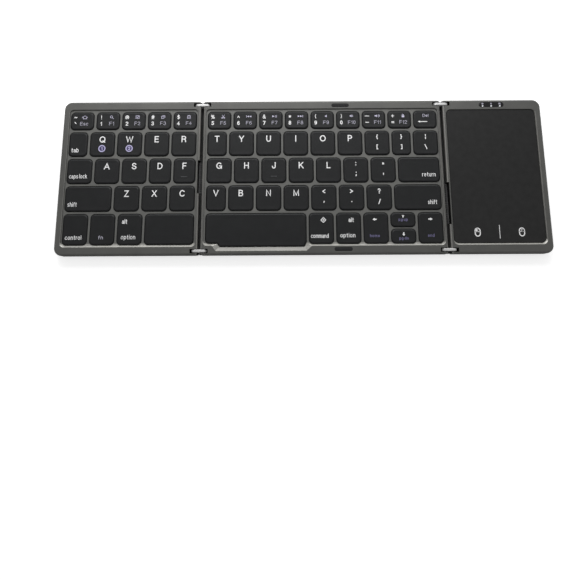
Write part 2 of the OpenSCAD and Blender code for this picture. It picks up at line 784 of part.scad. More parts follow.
module left_hinge_links() color(silver_colour) hinge_links(left_pins);
module left_hinge_pins() color(steel_colour) hinge_pins(left_pins);
module left_hinge_spine() color(steel_colour) hinge_spine(left_pins);
module left_cable_sleeve() color(rubber_colour)
    cable_sleeve(left_pins, -1, left_sleeve_y, left_sleeve_len);
module right_hinge_links() color(silver_colour) hinge_links(right_pins);
module right_hinge_pins() color(steel_colour) hinge_pins(right_pins);
module right_hinge_spine() color(steel_colour) hinge_spine(right_pins);
module right_cable_sleeve() color(rubber_colour)
    cable_sleeve(right_pins, 1, right_sleeve_y, right_sleeve_len);

// ---- groups of keys ----

module left_number_keys() key_caps(left_x, left_keys(0));
module left_upper_keys() key_caps(left_x, pick(left_keys(1), 1, 4));
module left_home_keys() key_caps(left_x, left_keys(2));
module left_lower_keys() key_caps(left_x, pick(left_keys(3), 1, 3));
module left_corner_keys() key_caps(left_x, pick(left_keys(4), 0, 2));
module tab_key() key_caps(left_x, [left_keys(1)[0]]);
module left_shift_key() key_caps(left_x, [left_keys(3)[0]]);
module left_space_key() key_caps(left_x, [left_keys(4)[3]]);
module centre_number_keys() key_caps(centre_x, centre_keys(0));
module centre_upper_keys() key_caps(centre_x, centre_keys(1));
module centre_home_keys() key_caps(centre_x, pick(centre_keys(2), 0, 6));
module centre_lower_keys() key_caps(centre_x, pick(centre_keys(3), 0, 6));
module centre_corner_keys() key_caps(centre_x,
    concat(pick(centre_keys(4), 1, 3), [centre_keys(4)[5]]));
module return_key() key_caps(centre_x, [centre_keys(2)[7]]);
module right_shift_key() key_caps(centre_x, [centre_keys(3)[7]]);
module space_bar() color(key_colour) {
    bar_layer(key_flange, key_z, flange_h);
    bar_layer(0, key_z, key_top - key_z - key_bevel);
    bar_layer(-key_bevel, key_z, key_top - key_z);
}
module up_key() key_caps(centre_x, [up_place]);
module down_key() key_caps(centre_x, [down_place]);

centre_bottom_cover();
centre_top_frame();
centre_key_web();
centre_key_plate();
centre_membrane();
centre_domes();
main_board();
centre_feet();
centre_screws();
centre_magnets();
bumper_pads();
left_bottom_cover();
left_top_frame();
left_key_web();
left_key_plate();
left_membrane();
left_domes();
left_feet();
left_screws();
left_magnets();
right_bottom_cover();
right_top_frame();
touchpad_surface();
touchpad_board();
touchpad_switch();
battery();
charge_board();
charging_port();
status_window();
status_leds();
right_feet();
right_screws();
right_magnets();
left_hinge_links();
left_hinge_pins();
left_hinge_spine();
left_cable_sleeve();
right_hinge_links();
right_hinge_pins();
right_hinge_spine();
right_cable_sleeve();
left_number_keys();
left_upper_keys();
left_home_keys();
left_lower_keys();
left_corner_keys();
tab_key();
left_shift_key();
left_space_key();
centre_number_keys();
centre_upper_keys();
centre_home_keys();
centre_lower_keys();
centre_corner_keys();
return_key();
right_shift_key();
space_bar();
up_key();
down_key();
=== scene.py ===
"""Looks of the folding keyboard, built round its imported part.

Sizes inside the classes are millimetres and become metres when a piece is made. Places in a
panel are x from the panel's left edge and y from its rear edge, as in the part's own source.
"""
from __future__ import annotations

import json
import logging
import math
from dataclasses import dataclass, field
from enum import Enum
from typing import Iterable, Sequence

import bmesh
import bpy
from mathutils import Matrix, Vector

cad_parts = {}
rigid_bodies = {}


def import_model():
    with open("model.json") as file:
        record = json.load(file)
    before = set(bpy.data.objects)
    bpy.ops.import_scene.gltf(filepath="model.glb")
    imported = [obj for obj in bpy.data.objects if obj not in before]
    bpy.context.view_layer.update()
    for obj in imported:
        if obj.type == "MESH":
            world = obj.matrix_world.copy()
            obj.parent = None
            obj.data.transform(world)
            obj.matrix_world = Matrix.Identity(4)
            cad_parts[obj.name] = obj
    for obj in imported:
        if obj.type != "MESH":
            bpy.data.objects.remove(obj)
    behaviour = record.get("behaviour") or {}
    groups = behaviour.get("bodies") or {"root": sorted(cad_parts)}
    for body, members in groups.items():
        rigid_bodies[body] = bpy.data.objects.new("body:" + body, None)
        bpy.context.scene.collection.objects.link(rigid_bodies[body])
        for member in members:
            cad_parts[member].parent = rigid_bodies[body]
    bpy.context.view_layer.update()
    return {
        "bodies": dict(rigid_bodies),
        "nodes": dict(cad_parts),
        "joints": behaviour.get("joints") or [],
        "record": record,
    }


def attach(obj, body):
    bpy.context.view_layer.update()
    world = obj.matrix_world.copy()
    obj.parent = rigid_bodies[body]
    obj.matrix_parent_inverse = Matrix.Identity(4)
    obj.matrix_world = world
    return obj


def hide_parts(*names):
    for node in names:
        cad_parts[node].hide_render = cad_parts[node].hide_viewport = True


LOG = logging.getLogger("folding_keyboard")
MM = 0.001
PANEL_DEPTH = 98.0
REAR = PANEL_DEPTH / 2
TOP = 8.0
PART_LINE = 3.2
PART_SOFTNESS = 0.14
COVER_BOTTOM = 0.4
EDGE_RADIUS = 1.3
WEB_TOP = 7.1
PIN_HEIGHT = 5.65
ABOVE = TOP + 1
BELOW = -1.0
REAR_END, FRONT_END = 1, -1
ENDS = ((REAR_END, "rear"), (FRONT_END, "front"))

Point = tuple[float, float]
Corner = tuple[float, float, float]
Stroke = tuple[Point, ...]
Place = tuple[float, float, float]
Colour = tuple[float, float, float]
Ring = list[Place]
Faces = list[list[int]]


# ---- colours and finishes ----


def tone(red: float, green: float, blue: float) -> tuple[float, float, float, float]:
    """Turns a display colour from 0 to 255 into the linear colour that a shader takes.

    Args:
        red: Red, from 0 to 255.
        green: Green, from 0 to 255.
        blue: Blue, from 0 to 255.

    Returns:
        The colour as four linear numbers, with full cover.
    """
    parts = [c / 255 for c in (red, green, blue)]
    line = [c / 12.92 if c <= 0.04045 else ((c + 0.055) / 1.055) ** 2.4 for c in parts]
    return (line[0], line[1], line[2], 1.0)


def add_node(nodes: bpy.types.Nodes, kind: str, inputs: dict[str, object] | None = None
             ) -> bpy.types.Node:
    """Adds a shader node.

    Args:
        nodes: Nodes of the material or the surroundings.
        kind: Type of the node, without its common first part.
        inputs: Values of its inputs by name.

    Returns:
        The node.
    """
    node = nodes.new(f"ShaderNode{kind}")
    for name, value in (inputs or {}).items():
        node.inputs[name].default_value = value
    return node


# Materials already made, by the name of their finish.
MADE: dict[str, bpy.types.Material] = {}


class Grain(Enum):
    """How the fine texture of a finish runs."""

    EVEN = (1.0, 1.0, 1.0)
    ALONG_X = (0.06, 1.0, 1.0)
    ALONG_Y = (1.0, 0.06, 1.0)


@dataclass(frozen=True)
class Finish:
    """A surface finish: two close colours in soft clouds, with fine grain in gloss and relief."""

    name: str
    colour: Colour
    second: Colour
    roughness: float = 0.5
    rough_spread: float = 0.08
    metallic: float = 0.0
    specular: float = 0.5
    cloud_size: float = 9.0
    grain_size: float = 0.25
    relief: float = 0.012
    grain: Grain = Grain.EVEN
    glow: float = 0.0

    CLOUD_STOPS = (0.35, 0.68)
    LEAST_ROUGHNESS = 0.02

    def material(self) -> bpy.types.Material:
        """Makes the node material, or returns the one already made under this name.

        Returns:
            The finish as a Blender material.
        """
        if self.name in MADE:
            return MADE[self.name]
        made = MADE[self.name] = bpy.data.materials.new(self.name)
        made.use_nodes = True
        nodes, links = made.node_tree.nodes, made.node_tree.links
        shader = nodes["Principled BSDF"]
        shader.inputs["Metallic"].default_value = self.metallic
        shader.inputs["Specular IOR Level"].default_value = self.specular
        if self.glow > 0:
            shader.inputs["Emission Color"].default_value = tone(*self.colour)
            shader.inputs["Emission Strength"].default_value = self.glow
        place = add_node(nodes, "TexCoord")
        clouds = add_node(nodes, "TexNoise", {"Scale": 1 / (self.cloud_size * MM), "Detail": 3.0})
        ramp = add_node(nodes, "ValToRGB")
        for stop, position, colour in zip(ramp.color_ramp.elements, self.CLOUD_STOPS,
                                          (self.colour, self.second)):
            stop.position, stop.color = position, tone(*colour)
        run = add_node(nodes, "Mapping", {"Scale": self.grain.value})
        grain = add_node(nodes, "TexNoise", {"Scale": 1 / (self.grain_size * MM), "Detail": 2.0})
        gloss = add_node(nodes, "MapRange", {
            "To Min": max(self.roughness - self.rough_spread, self.LEAST_ROUGHNESS),
            "To Max": min(self.roughness + self.rough_spread, 1.0)})
        bump = add_node(nodes, "Bump", {"Strength": 0.5, "Distance": self.relief * MM})
        for start, end in (
                (place.outputs["Object"], clouds.inputs["Vector"]),
                (clouds.outputs["Fac"], ramp.inputs["Fac"]),
                (ramp.outputs["Color"], shader.inputs["Base Color"]),
                (place.outputs["Object"], run.inputs["Vector"]),
                (run.outputs["Vector"], grain.inputs["Vector"]),
                (grain.outputs["Fac"], gloss.inputs["Value"]),
                (gloss.outputs["Result"], shader.inputs["Roughness"]),
                (grain.outputs["Fac"], bump.inputs["Height"]),
                (bump.outputs["Normal"], shader.inputs["Normal"])):
            links.new(start, end)
        return made


def ink(name: str, colour: Colour, second: Colour, roughness: float = 0.55) -> Finish:
    """A matt printing ink of these two close colours."""
    return Finish(name, colour, second, roughness, 0.08, 0.0, 0.2, cloud_size=1.2,
                  grain_size=0.15, relief=0.004)


def satin(name: str, colour: Colour, second: Colour, roughness: float = 0.4,
          metallic: float = 0.3, specular: float = 0.4) -> Finish:
    """A smooth moulded edge finish of these two close colours; the pale colours it is given paint
    in a highlight.
    """
    return Finish(name, colour, second, roughness, 0.06, metallic, specular, cloud_size=10,
                  grain_size=0.3, relief=0.004)


def rubber(name: str, colour: Colour, second: Colour, roughness: float, specular: float,
           relief: float) -> Finish:
    """Matt moulded rubber of these two close colours."""
    return Finish(name, colour, second, roughness, 0.08, 0.0, specular, cloud_size=3,
                  grain_size=0.2, relief=relief)


FRAME = Finish("satin_frame_grey", (92, 92, 89), (86, 86, 84), 0.42, 0.06, 0.25, 0.45,
               cloud_size=14, grain_size=0.16, relief=0.006)
COVER = Finish("textured_cover_grey", (70, 70, 69), (64, 64, 63), 0.7, 0.08, 0.0, 0.12,
               cloud_size=12, grain_size=0.35, relief=0.03)
WEB = Finish("satin_web_grey", (106, 106, 103), (99, 99, 97), 0.45, 0.06, 0.2, 0.45,
             cloud_size=10, grain_size=0.2, relief=0.006)
# Painted highlight: a pale colour on the sloped front wall and brim of each tray, where the light
# falls.
BRIM_HIGHLIGHT = satin("brim_painted_highlight", (184, 183, 177), (174, 173, 168), 0.34, specular=0.5)
# Painted highlight: a pale colour on the strip along the front of the key webs.
WEB_LIP_HIGHLIGHT = satin("web_lip_painted_highlight", (166, 165, 160), (158, 157, 153), metallic=0.2)
# Painted highlight: a pale colour on the sloped wall of the space bar's bay.
BAY_HIGHLIGHT = satin("bay_slope_painted_highlight", (141, 140, 136), (134, 133, 129))
# Painted highlight: the frame's grey made pale on its rounded edges along a gap and on the tray's
# side brims.
GAP_EDGE_HIGHLIGHT = Finish("gap_edge_painted_highlight", (134, 133, 129), (126, 125, 122), 0.42, 0.06, 0.25, 0.45,
                  cloud_size=14, grain_size=0.16, relief=0.006)
# Painted shade: the frame's grey made darker, and matt, on its front and rear sides.
FRAME_SIDE_SHADE = Finish("matt_side_painted_shade", (84, 84, 82), (78, 78, 77), 0.8, 0.06, 0.0, 0.08,
                    cloud_size=12, grain_size=0.3, relief=0.02)
# Painted shade: a much darker grey on the free end of each wing.
FRAME_END_SHADE = Finish("matt_end_painted_shade", (46, 46, 45), (42, 42, 42), 0.8, 0.06, 0.0, 0.05,
                   cloud_size=12, grain_size=0.3, relief=0.02)
# Painted shade: near-black lining for the pockets, notches, recesses and gap stops.
POCKET_SHADE = Finish("pocket_painted_shade", (20, 20, 20), (15, 15, 15), 0.8, 0.05, 0.0, 0.1)
KEYCAP = Finish("keycap_black", (29, 30, 31), (26, 27, 28), 0.42, 0.08, 0.0, 0.28,
                cloud_size=5, grain_size=0.3, relief=0.02)
# Painted highlight: a paler colour on the raised bars of the F and J keys.
RIDGE_HIGHLIGHT = Finish("key_ridge_painted_highlight", (66, 67, 69), (60, 61, 63), 0.42, 0.08, 0.0, 0.3,
               cloud_size=5, grain_size=0.3, relief=0.01)
TOUCHPAD = Finish("touchpad_coating", (44, 44, 44), (40, 40, 40), 0.36, 0.06, 0.0, 0.18,
                  cloud_size=4, grain_size=0.45, relief=0.012)
WHITE_INK = ink("white_ink", (248, 248, 248), (243, 243, 244))
DIM_INK = ink("dim_ink", (190, 188, 202), (178, 176, 191), 0.6)
SLATE_INK = ink("slate_ink", (118, 114, 148), (108, 104, 138))
LAVENDER_INK = ink("lavender_ink", (196, 191, 228), (186, 181, 218))
ICON_INK = ink("icon_ink", (208, 205, 226), (197, 194, 216))
BADGE_INK = ink("badge_ink", (72, 67, 104), (66, 61, 98))
SILVER = Finish("link_silver", (214, 214, 213), (204, 204, 204), 0.42, 0.08, 0.35, 0.5,
                cloud_size=3, grain_size=0.5, relief=0.006, grain=Grain.ALONG_X)
STEEL = Finish("pin_steel", (168, 170, 174), (150, 152, 157), 0.32, 0.08, 1.0, 0.5,
               cloud_size=3, grain_size=0.4, relief=0.008, grain=Grain.ALONG_Y)
RUBBER = rubber("foot_rubber", (36, 36, 37), (30, 30, 31), 0.75, 0.3, 0.03)
SLEEVE = rubber("sleeve_rubber", (92, 92, 92), (78, 78, 79), 0.6, 0.3, 0.02)
# Black rubber of the curtain, which also stands as painted shade in the hinge gap.
CURTAIN_AND_GAP_SHADE = rubber("curtain_black_and_gap_shade", (62, 62, 62), (52, 52, 52), 0.7, 0.2, 0.02)
WINDOW = Finish("window_black", (16, 16, 17), (13, 13, 14), 0.16, 0.04, 0.0, 0.5,
                cloud_size=5, grain_size=0.6, relief=0.002)
LAMP = Finish("lamp_white", (235, 238, 240), (220, 224, 228), 0.4, 0.05, 0.0, 0.5,
              cloud_size=1.0, grain_size=0.2, relief=0.004, glow=0.25)
BOARD = Finish("circuit_green", (28, 82, 56), (22, 70, 46), 0.45, 0.1, 0.0, 0.5,
               cloud_size=2, grain_size=0.4, relief=0.02)
MEMBRANE = Finish("clear_membrane", (196, 188, 160), (184, 176, 148), 0.4, 0.08, 0.0, 0.5,
                  cloud_size=6, grain_size=0.8, relief=0.006)
DOME = Finish("milky_dome", (208, 208, 204), (196, 196, 192), 0.55, 0.08, 0.0, 0.4,
              cloud_size=2, grain_size=0.3, relief=0.01)
MAGNET = Finish("magnet_nickel", (190, 190, 188), (176, 176, 175), 0.25, 0.06, 1.0, 0.5,
                cloud_size=3, grain_size=0.5, relief=0.004)
FOIL = Finish("foil_pouch", (168, 172, 178), (150, 154, 161), 0.35, 0.08, 0.8, 0.5,
              cloud_size=4, grain_size=1.2, relief=0.03)

# Finishes of the CAD nodes that keep their own shape.
CARRIED: dict[str, Finish] = {
    "centre_key_plate": STEEL, "left_key_plate": STEEL,
    "centre_membrane": MEMBRANE, "left_membrane": MEMBRANE,
    "centre_domes": DOME, "left_domes": DOME,
    "main_board": BOARD, "charge_board": BOARD, "touchpad_board": BOARD,
    "touchpad_switch": STEEL, "battery": FOIL, "charging_port": STEEL,
    "status_leds": LAMP,
    "centre_screws": STEEL, "left_screws": STEEL, "right_screws": STEEL,
    "centre_magnets": MAGNET, "left_magnets": MAGNET, "right_magnets": MAGNET,
    "left_hinge_pins": STEEL, "right_hinge_pins": STEEL,
}


# ---- shapes ----


LEAST_RADIUS = 0.03

# Angles in degrees above which an edge stays sharp.
CREASE = 32.0
SOFT_CREASE = 50.0
FLAT_CREASE = 80.0


def rect_corners(x: float, y: float, width: float, depth: float,
                 radii: Sequence[float]) -> list[Corner]:
    """Corners of an upright rectangle, counter-clockwise seen from above.

    Args:
        x: Left side, across the whole keyboard.
        y: Rear side, across the whole keyboard.
        width: Size along X.
        depth: Size along Y.
        radii: Radius of the front-left, front-right, rear-right and rear-left corners.

    Returns:
        The four corners with their radii.
    """
    r = [max(value, LEAST_RADIUS) for value in radii]
    return [(x, y - depth, r[0]), (x + width, y - depth, r[1]),
            (x + width, y, r[2]), (x, y, r[3])]


def rounded(corners: Sequence[Corner], steps: int = 8) -> list[Point]:
    """Rounds the corners of an outline.

    Args:
        corners: Corners with their radii, in order round the outline.
        steps: Number of straight pieces in each rounded corner.

    Returns:
        The points of the outline, steps + 1 of them for each corner.
    """
    points: list[Point] = []
    count = len(corners)
    for i, (cx, cy, radius) in enumerate(corners):
        here = Vector((cx, cy))
        back = (Vector(corners[i - 1][:2]) - here).normalized()
        ahead = (Vector(corners[(i + 1) % count][:2]) - here).normalized()
        half = back.angle(ahead) / 2
        centre = here + (back + ahead).normalized() * radius / math.sin(half)
        first = here + back * radius / math.tan(half) - centre
        last = here + ahead * radius / math.tan(half) - centre
        turn = first.angle_signed(last) * -1
        for k in range(steps + 1):
            p = centre + Matrix.Rotation(turn * k / steps, 2) @ first
            points.append((p.x, p.y))
    return points


def at_height(points: Iterable[Point], z: float) -> Ring:
    """The outline as a ring at one height."""
    return [(x, y, z) for x, y in points]


def inside_out(points: Sequence[Place], faces: Iterable[Sequence[int]]) -> bool:
    """Whether the faces of a closed shape look inwards, from the sign of its volume.

    Args:
        points: Vertices of the shape.
        faces: Its faces.

    Returns:
        True where the faces look inwards.
    """
    volume = 0.0
    start = Vector(points[0])
    for face in faces:
        first = Vector(points[face[0]]) - start
        for a, b in zip(face[1:], face[2:]):
            volume += first.dot((Vector(points[a]) - start).cross(Vector(points[b]) - start))
    return volume < 0


class Draft:
    """Vertices and faces of one piece, in millimetres, with a finish number for each face."""

    def __init__(self) -> None:
        """Starts an empty piece."""
        self.vertices: list[Place] = []
        self.faces: list[tuple[int, ...]] = []
        self.finish_of: list[int] = []

    def add(self, vertices: Sequence[Place], faces: Iterable[Sequence[int]],
            finish: int = 0) -> None:
        """Adds a patch of faces.

        Args:
            vertices: The patch's own vertices.
            faces: Faces that count from the patch's first vertex.
            finish: Number of the finish that the patch has.
        """
        start = len(self.vertices)
        self.vertices.extend(vertices)
        for face in faces:
            self.faces.append(tuple(start + i for i in face))
            self.finish_of.append(finish)

    def loft(self, rings: Sequence[Ring], finish: int = 0) -> Draft:
        """Joins rings into a closed shape, from its first end to its last.

        Args:
            rings: Rings with the same number of points.
            finish: Number of the finish that the shape has.

        Returns:
            The draft itself.
        """
        n = len(rings[0])
        faces: Faces = []
        for level in range(len(rings) - 1):
            low, high = level * n, (level + 1) * n
            faces += [[low + j, low + (j + 1) % n, high + (j + 1) % n, high + j]
                      for j in range(n)]
        points = [p for ring in rings for p in ring]
        faces.append(list(range(n - 1, -1, -1)))
        faces.append(list(range((len(rings) - 1) * n, len(rings) * n)))
        if inside_out(points, faces):
            faces = [face[::-1] for face in faces]
        self.add(points, faces, finish)
        return self

    def piece(self, name: str, finishes: Sequence[Finish], crease: float = CREASE
              ) -> bpy.types.Object:
        """Makes the Blender object.

        Args:
            name: Name of the piece.
            finishes: Finishes in the order of their numbers.
            crease: Angle in degrees above which an edge stays sharp.

        Returns:
            The object, in metres, not yet riding on a body.
        """
        mesh = bpy.data.meshes.new(name)
        mesh.from_pydata([tuple(c * MM for c in p) for p in self.vertices], [], self.faces)
        for finish in finishes:
            mesh.materials.append(finish.material())
        mesh.polygons.foreach_set("material_index", self.finish_of)
        return finished_object(name, mesh, crease)


def in_scene(name: str, data: bpy.types.ID) -> bpy.types.Object:
    """Makes an object of this data and links it to the scene.

    Args:
        name: Name of the object.
        data: Its mesh, curve, light or camera.

    Returns:
        The linked object.
    """
    made = bpy.data.objects.new(name, data)
    bpy.context.scene.collection.objects.link(made)
    return made


def smooth(mesh: bpy.types.Mesh, crease: float) -> None:
    """Shades a mesh smooth, apart from edges sharper than this angle in degrees."""
    mesh.polygons.foreach_set("use_smooth", [True] * len(mesh.polygons))
    mesh.set_sharp_from_angle(angle=math.radians(crease))


def evaluated_mesh(made: bpy.types.Object) -> bpy.types.Mesh:
    """A new mesh of the object as its modifiers or its curve settings leave it.

    Args:
        made: The object.

    Returns:
        The mesh, which no object holds yet.
    """
    bpy.context.view_layer.update()
    graph = bpy.context.evaluated_depsgraph_get()
    return bpy.data.meshes.new_from_object(made.evaluated_get(graph))


def finished_object(name: str, mesh: bpy.types.Mesh, crease: float) -> bpy.types.Object:
    """Puts a mesh in the scene with smooth shading between its creases.

    Args:
        name: Name of the object.
        mesh: Its mesh.
        crease: Angle in degrees above which an edge stays sharp.

    Returns:
        The linked object.
    """
    mesh.validate()
    smooth(mesh, crease)
    return in_scene(name, mesh)


def even_shading(piece: bpy.types.Object) -> bpy.types.Object:
    """Keeps large flat faces flat beside rounded edges.

    Args:
        piece: The piece.

    Returns:
        The same piece.
    """
    weighted = piece.modifiers.new("even_shading", "WEIGHTED_NORMAL")
    weighted.keep_sharp = True
    return piece


def carve(body: bpy.types.Object, tools: Sequence[bpy.types.Object]) -> bpy.types.Object:
    """Cuts tools out of a body and removes them. Cut faces take the tools' finishes.

    Args:
        body: The piece to cut.
        tools: Closed shapes that are taken away from it.

    Returns:
        The same object with the cut mesh.
    """
    for tool in tools:
        cut = body.modifiers.new("cut", "BOOLEAN")
        cut.operation = "DIFFERENCE"
        cut.solver = "EXACT"
        cut.material_mode = "TRANSFER"
        cut.object = tool
    mesh = evaluated_mesh(body)
    body.modifiers.clear()
    whole, body.data = body.data, mesh
    bpy.data.meshes.remove(whole)
    mesh.name = body.name
    for tool in tools:
        shape = tool.data
        bpy.data.objects.remove(tool)
        bpy.data.meshes.remove(shape)
    smooth(mesh, CREASE)
    return body


# A stroke's corner reaches out no further than that of a turn with this cosine of its half.
LEAST_TURN = 0.55


def ribbon(points: Sequence[Point], width: float, closed: bool = False
           ) -> tuple[list[Point], Faces]:
    """A flat stroke of even width along a line, with square ends half a width beyond it.

    Args:
        points: The middle of the stroke.
        width: Its width.
        closed: Whether its end joins its start.

    Returns:
        Points and faces of the stroke.
    """
    out: list[Point] = []
    count = len(points)
    for i in range(count):
        here = Vector(points[i])
        back = (here - Vector(points[i - 1])).normalized() if closed or i else None
        ahead = (Vector(points[(i + 1) % count]) - here).normalized() if (
            closed or i < count - 1) else None
        if back is None or ahead is None:
            along = back or ahead
            here = here + along * width / 2 * (-1 if back is None else 1)
            reach = width / 2
        else:
            along = (back + ahead).normalized()
            reach = width / 2 / max(along.dot(ahead), LEAST_TURN)
        side = Vector((-along.y, along.x)) * reach
        out += [tuple(here - side), tuple(here + side)]
    spans = count if closed else count - 1
    faces = [[2 * i, 2 * ((i + 1) % count), 2 * ((i + 1) % count) + 1, 2 * i + 1]
             for i in range(spans)]
    return out, faces


def ellipse(x: float, y: float, rx: float, ry: float, start: float = 0.0, sweep: float = 360.0,
            steps: int = 24) -> list[Point]:
    """Points on an ellipse, or on a part of one.

    Args:
        x: Middle along X.
        y: Middle along Y.
        rx: Half size along X.
        ry: Half size along Y.
        start: First angle in degrees.
        sweep: Angle covered in degrees; a full turn leaves out the last point.
        steps: Number of pieces.

    Returns:
        The points, counter-clockwise for a positive sweep.
    """
    count = steps if abs(sweep) >= 360 else steps + 1
    angles = [math.radians(start + sweep * k / steps) for k in range(count)]
    return [(x + rx * math.cos(a), y + ry * math.sin(a)) for a in angles]


def disc_tool(name: str, x: float, y: float, radius: float, top: float, finish: Finish,
              steps: int = 40) -> bpy.types.Object:
    """An upright cylinder that cuts a round recess from below, as far as this top."""
    outline = ellipse(x, y, radius, radius, steps=steps)
    return Draft().loft([at_height(outline, z) for z in (BELOW, top)]).piece(name, [finish])


def bar_rings(x: float, y: float, width: float, depth: float, radius: float,
              levels: Iterable[tuple[float, float]]) -> list[Ring]:
    """Rings of a small raised bar.

    Args:
        x: Middle along X, across the whole keyboard.
        y: Middle along Y, across the whole keyboard.
        width: Size along X.
        depth: Size along Y.
        radius: Radius of its corners.
        levels: How far each ring moves in, and its height.

    Returns:
        The rings, from the lowest to the highest.
    """
    return [at_height(rounded(rect_corners(x - width / 2 + i, y + depth / 2 - i, width - 2 * i,
                                           depth - 2 * i, (radius - i,) * 4), 3), z)
            for i, z in levels]


# ---- printing ----


def loop(points: Sequence[Point]) -> Stroke:
    """An outline whose end meets its start."""
    return tuple(points) + (points[0],)


def ring(x: float, y: float, rx: float, ry: float, steps: int = 16) -> Stroke:
    """A whole round; its end meets its start."""
    return loop(ellipse(x, y, rx, ry, steps=steps))


def block(left: float, low: float, right: float, high: float) -> Stroke:
    """The corners of an upright rectangle."""
    return ((left, low), (right, low), (right, high), (left, high))


def arrow(cos: int, sin: int) -> tuple[tuple[bool, Stroke], ...]:
    """A short arrow that points left, turned by an angle with this cosine and sine.

    Args:
        cos: Cosine of the angle: 1, 0 or -1.
        sin: Its sine.

    Returns:
        The arrow's filled outlines.
    """
    head, stem = ((-1, 0), (0, -1), (0, 1)), block(-.1, -.42, .9, .42)
    return tuple((True, tuple((x * cos - y * sin, x * sin + y * cos) for x, y in part))
                 for part in (head, stem))


class Sign(Enum):
    """Small signs in a box from -1 to 1: outlines that are filled (True), and strokes."""

    HOUSE = ((False, loop(((-.95, 0), (-.6, 0), (-.6, -.8), (.6, -.8), (.6, 0), (.95, 0),
                           (0, .85)))),)
    SEARCH = ((False, ring(-.2, .2, .55, .6, 12)), (False, ((.2, -.25), (.85, -.95))))
    TICKED = ((False, loop(block(-.8, -.8, .8, .8))), (False, ((-.4, 0), (-.1, -.4), (.5, .45))))
    PAGES = ((False, loop(block(-.8, -.8, .3, .4))), (False, ((-.3, .8), (.8, .8), (.8, -.4))))
    CLIPBOARD = ((False, loop(block(-.7, -.9, .7, .6))), (True, block(-.3, .5, .3, .95)),
                 (False, ((-.35, -.2), (.35, -.2))))
    SCISSORS = ((False, ((-.6, .9), (.35, -.5))), (False, ((.6, .9), (-.35, -.5))),
                (False, ring(-.5, -.7, .3, .28, 8)), (False, ring(.5, -.7, .3, .28, 8)))
    BACK = ((True, ((.05, -.55), (.05, .55), (-.75, 0))),
            (True, ((.95, -.55), (.95, .55), (.15, 0))), (False, ((-.95, -.55), (-.95, .55))))
    PLAY = ((True, ((-.9, -.6), (-.05, 0), (-.9, .6))), (False, ((.25, -.55), (.25, .55))),
            (False, ((.75, -.55), (.75, .55))))
    FORWARD = ((True, ((-.95, -.55), (-.15, 0), (-.95, .55))),
               (True, ((-.05, -.55), (.75, 0), (-.05, .55))), (False, ((.95, -.55), (.95, .55))))
    QUIET = ((True, ((-.5, -.3), (-.1, -.3), (.4, -.75), (.4, .75), (-.1, .3), (-.5, .3))),)
    SOFTER = ((True, ((-.9, -.3), (-.5, -.3), (0, -.75), (0, .75), (-.5, .3), (-.9, .3))),
              (False, tuple(ellipse(0, 0, .6, .6, -50, 100, 6))))
    LOUDER = ((True, ((-1, -.3), (-.6, -.3), (-.1, -.75), (-.1, .75), (-.6, .3), (-1, .3))),
              (False, tuple(ellipse(-.1, 0, .5, .5, -50, 100, 6))),
              (False, tuple(ellipse(-.1, 0, .95, .95, -50, 100, 6))))
    LOCK = ((True, block(-.65, -.9, .65, .1)),
            (False, tuple(ellipse(0, .1, .42, .75, 0, 180, 8))))
    DIAMOND = ((False, loop(((0, -1), (1, 0), (0, 1), (-1, 0)))),
               (True, ((0, -.38), (.38, 0), (0, .38), (-.38, 0))))
    ARROW_LEFT = arrow(1, 0)
    ARROW_RIGHT = arrow(-1, 0)
    ARROW_UP = arrow(0, -1)
    ARROW_DOWN = arrow(0, 1)
    LONG_ARROW = ((True, ((-1, 0), (-.5, -.8), (-.5, .8))), (True, block(-.55, -.3, 1, .3)))
    DISC = ((True, tuple(ellipse(0, 0, 1, 1, steps=28))),)
    HOOP = ((False, ring(0, 0, 1, 1, 28)),)


# How far printing stands above the face below it.
INK_LIFT = 0.012


@dataclass(frozen=True)
class Mark:
    """One piece of printing. Its place is its middle, in its panel."""

    what: str | Sign
    x: float
    y: float
    height: float
    width: float = 0.0
    ink: Finish = WHITE_INK
    stroke: float = 0.32
    lift: float = INK_LIFT


# Degrees of a letter's curve that one straight piece covers.
ARC_STEP = 24


def arc(x: float, y: float, rx: float, ry: float, start: float, sweep: float) -> Stroke:
    """A short curve of a letter, as points."""
    return tuple(ellipse(x, y, rx, ry, start, sweep, max(int(abs(sweep) / ARC_STEP), 3)))


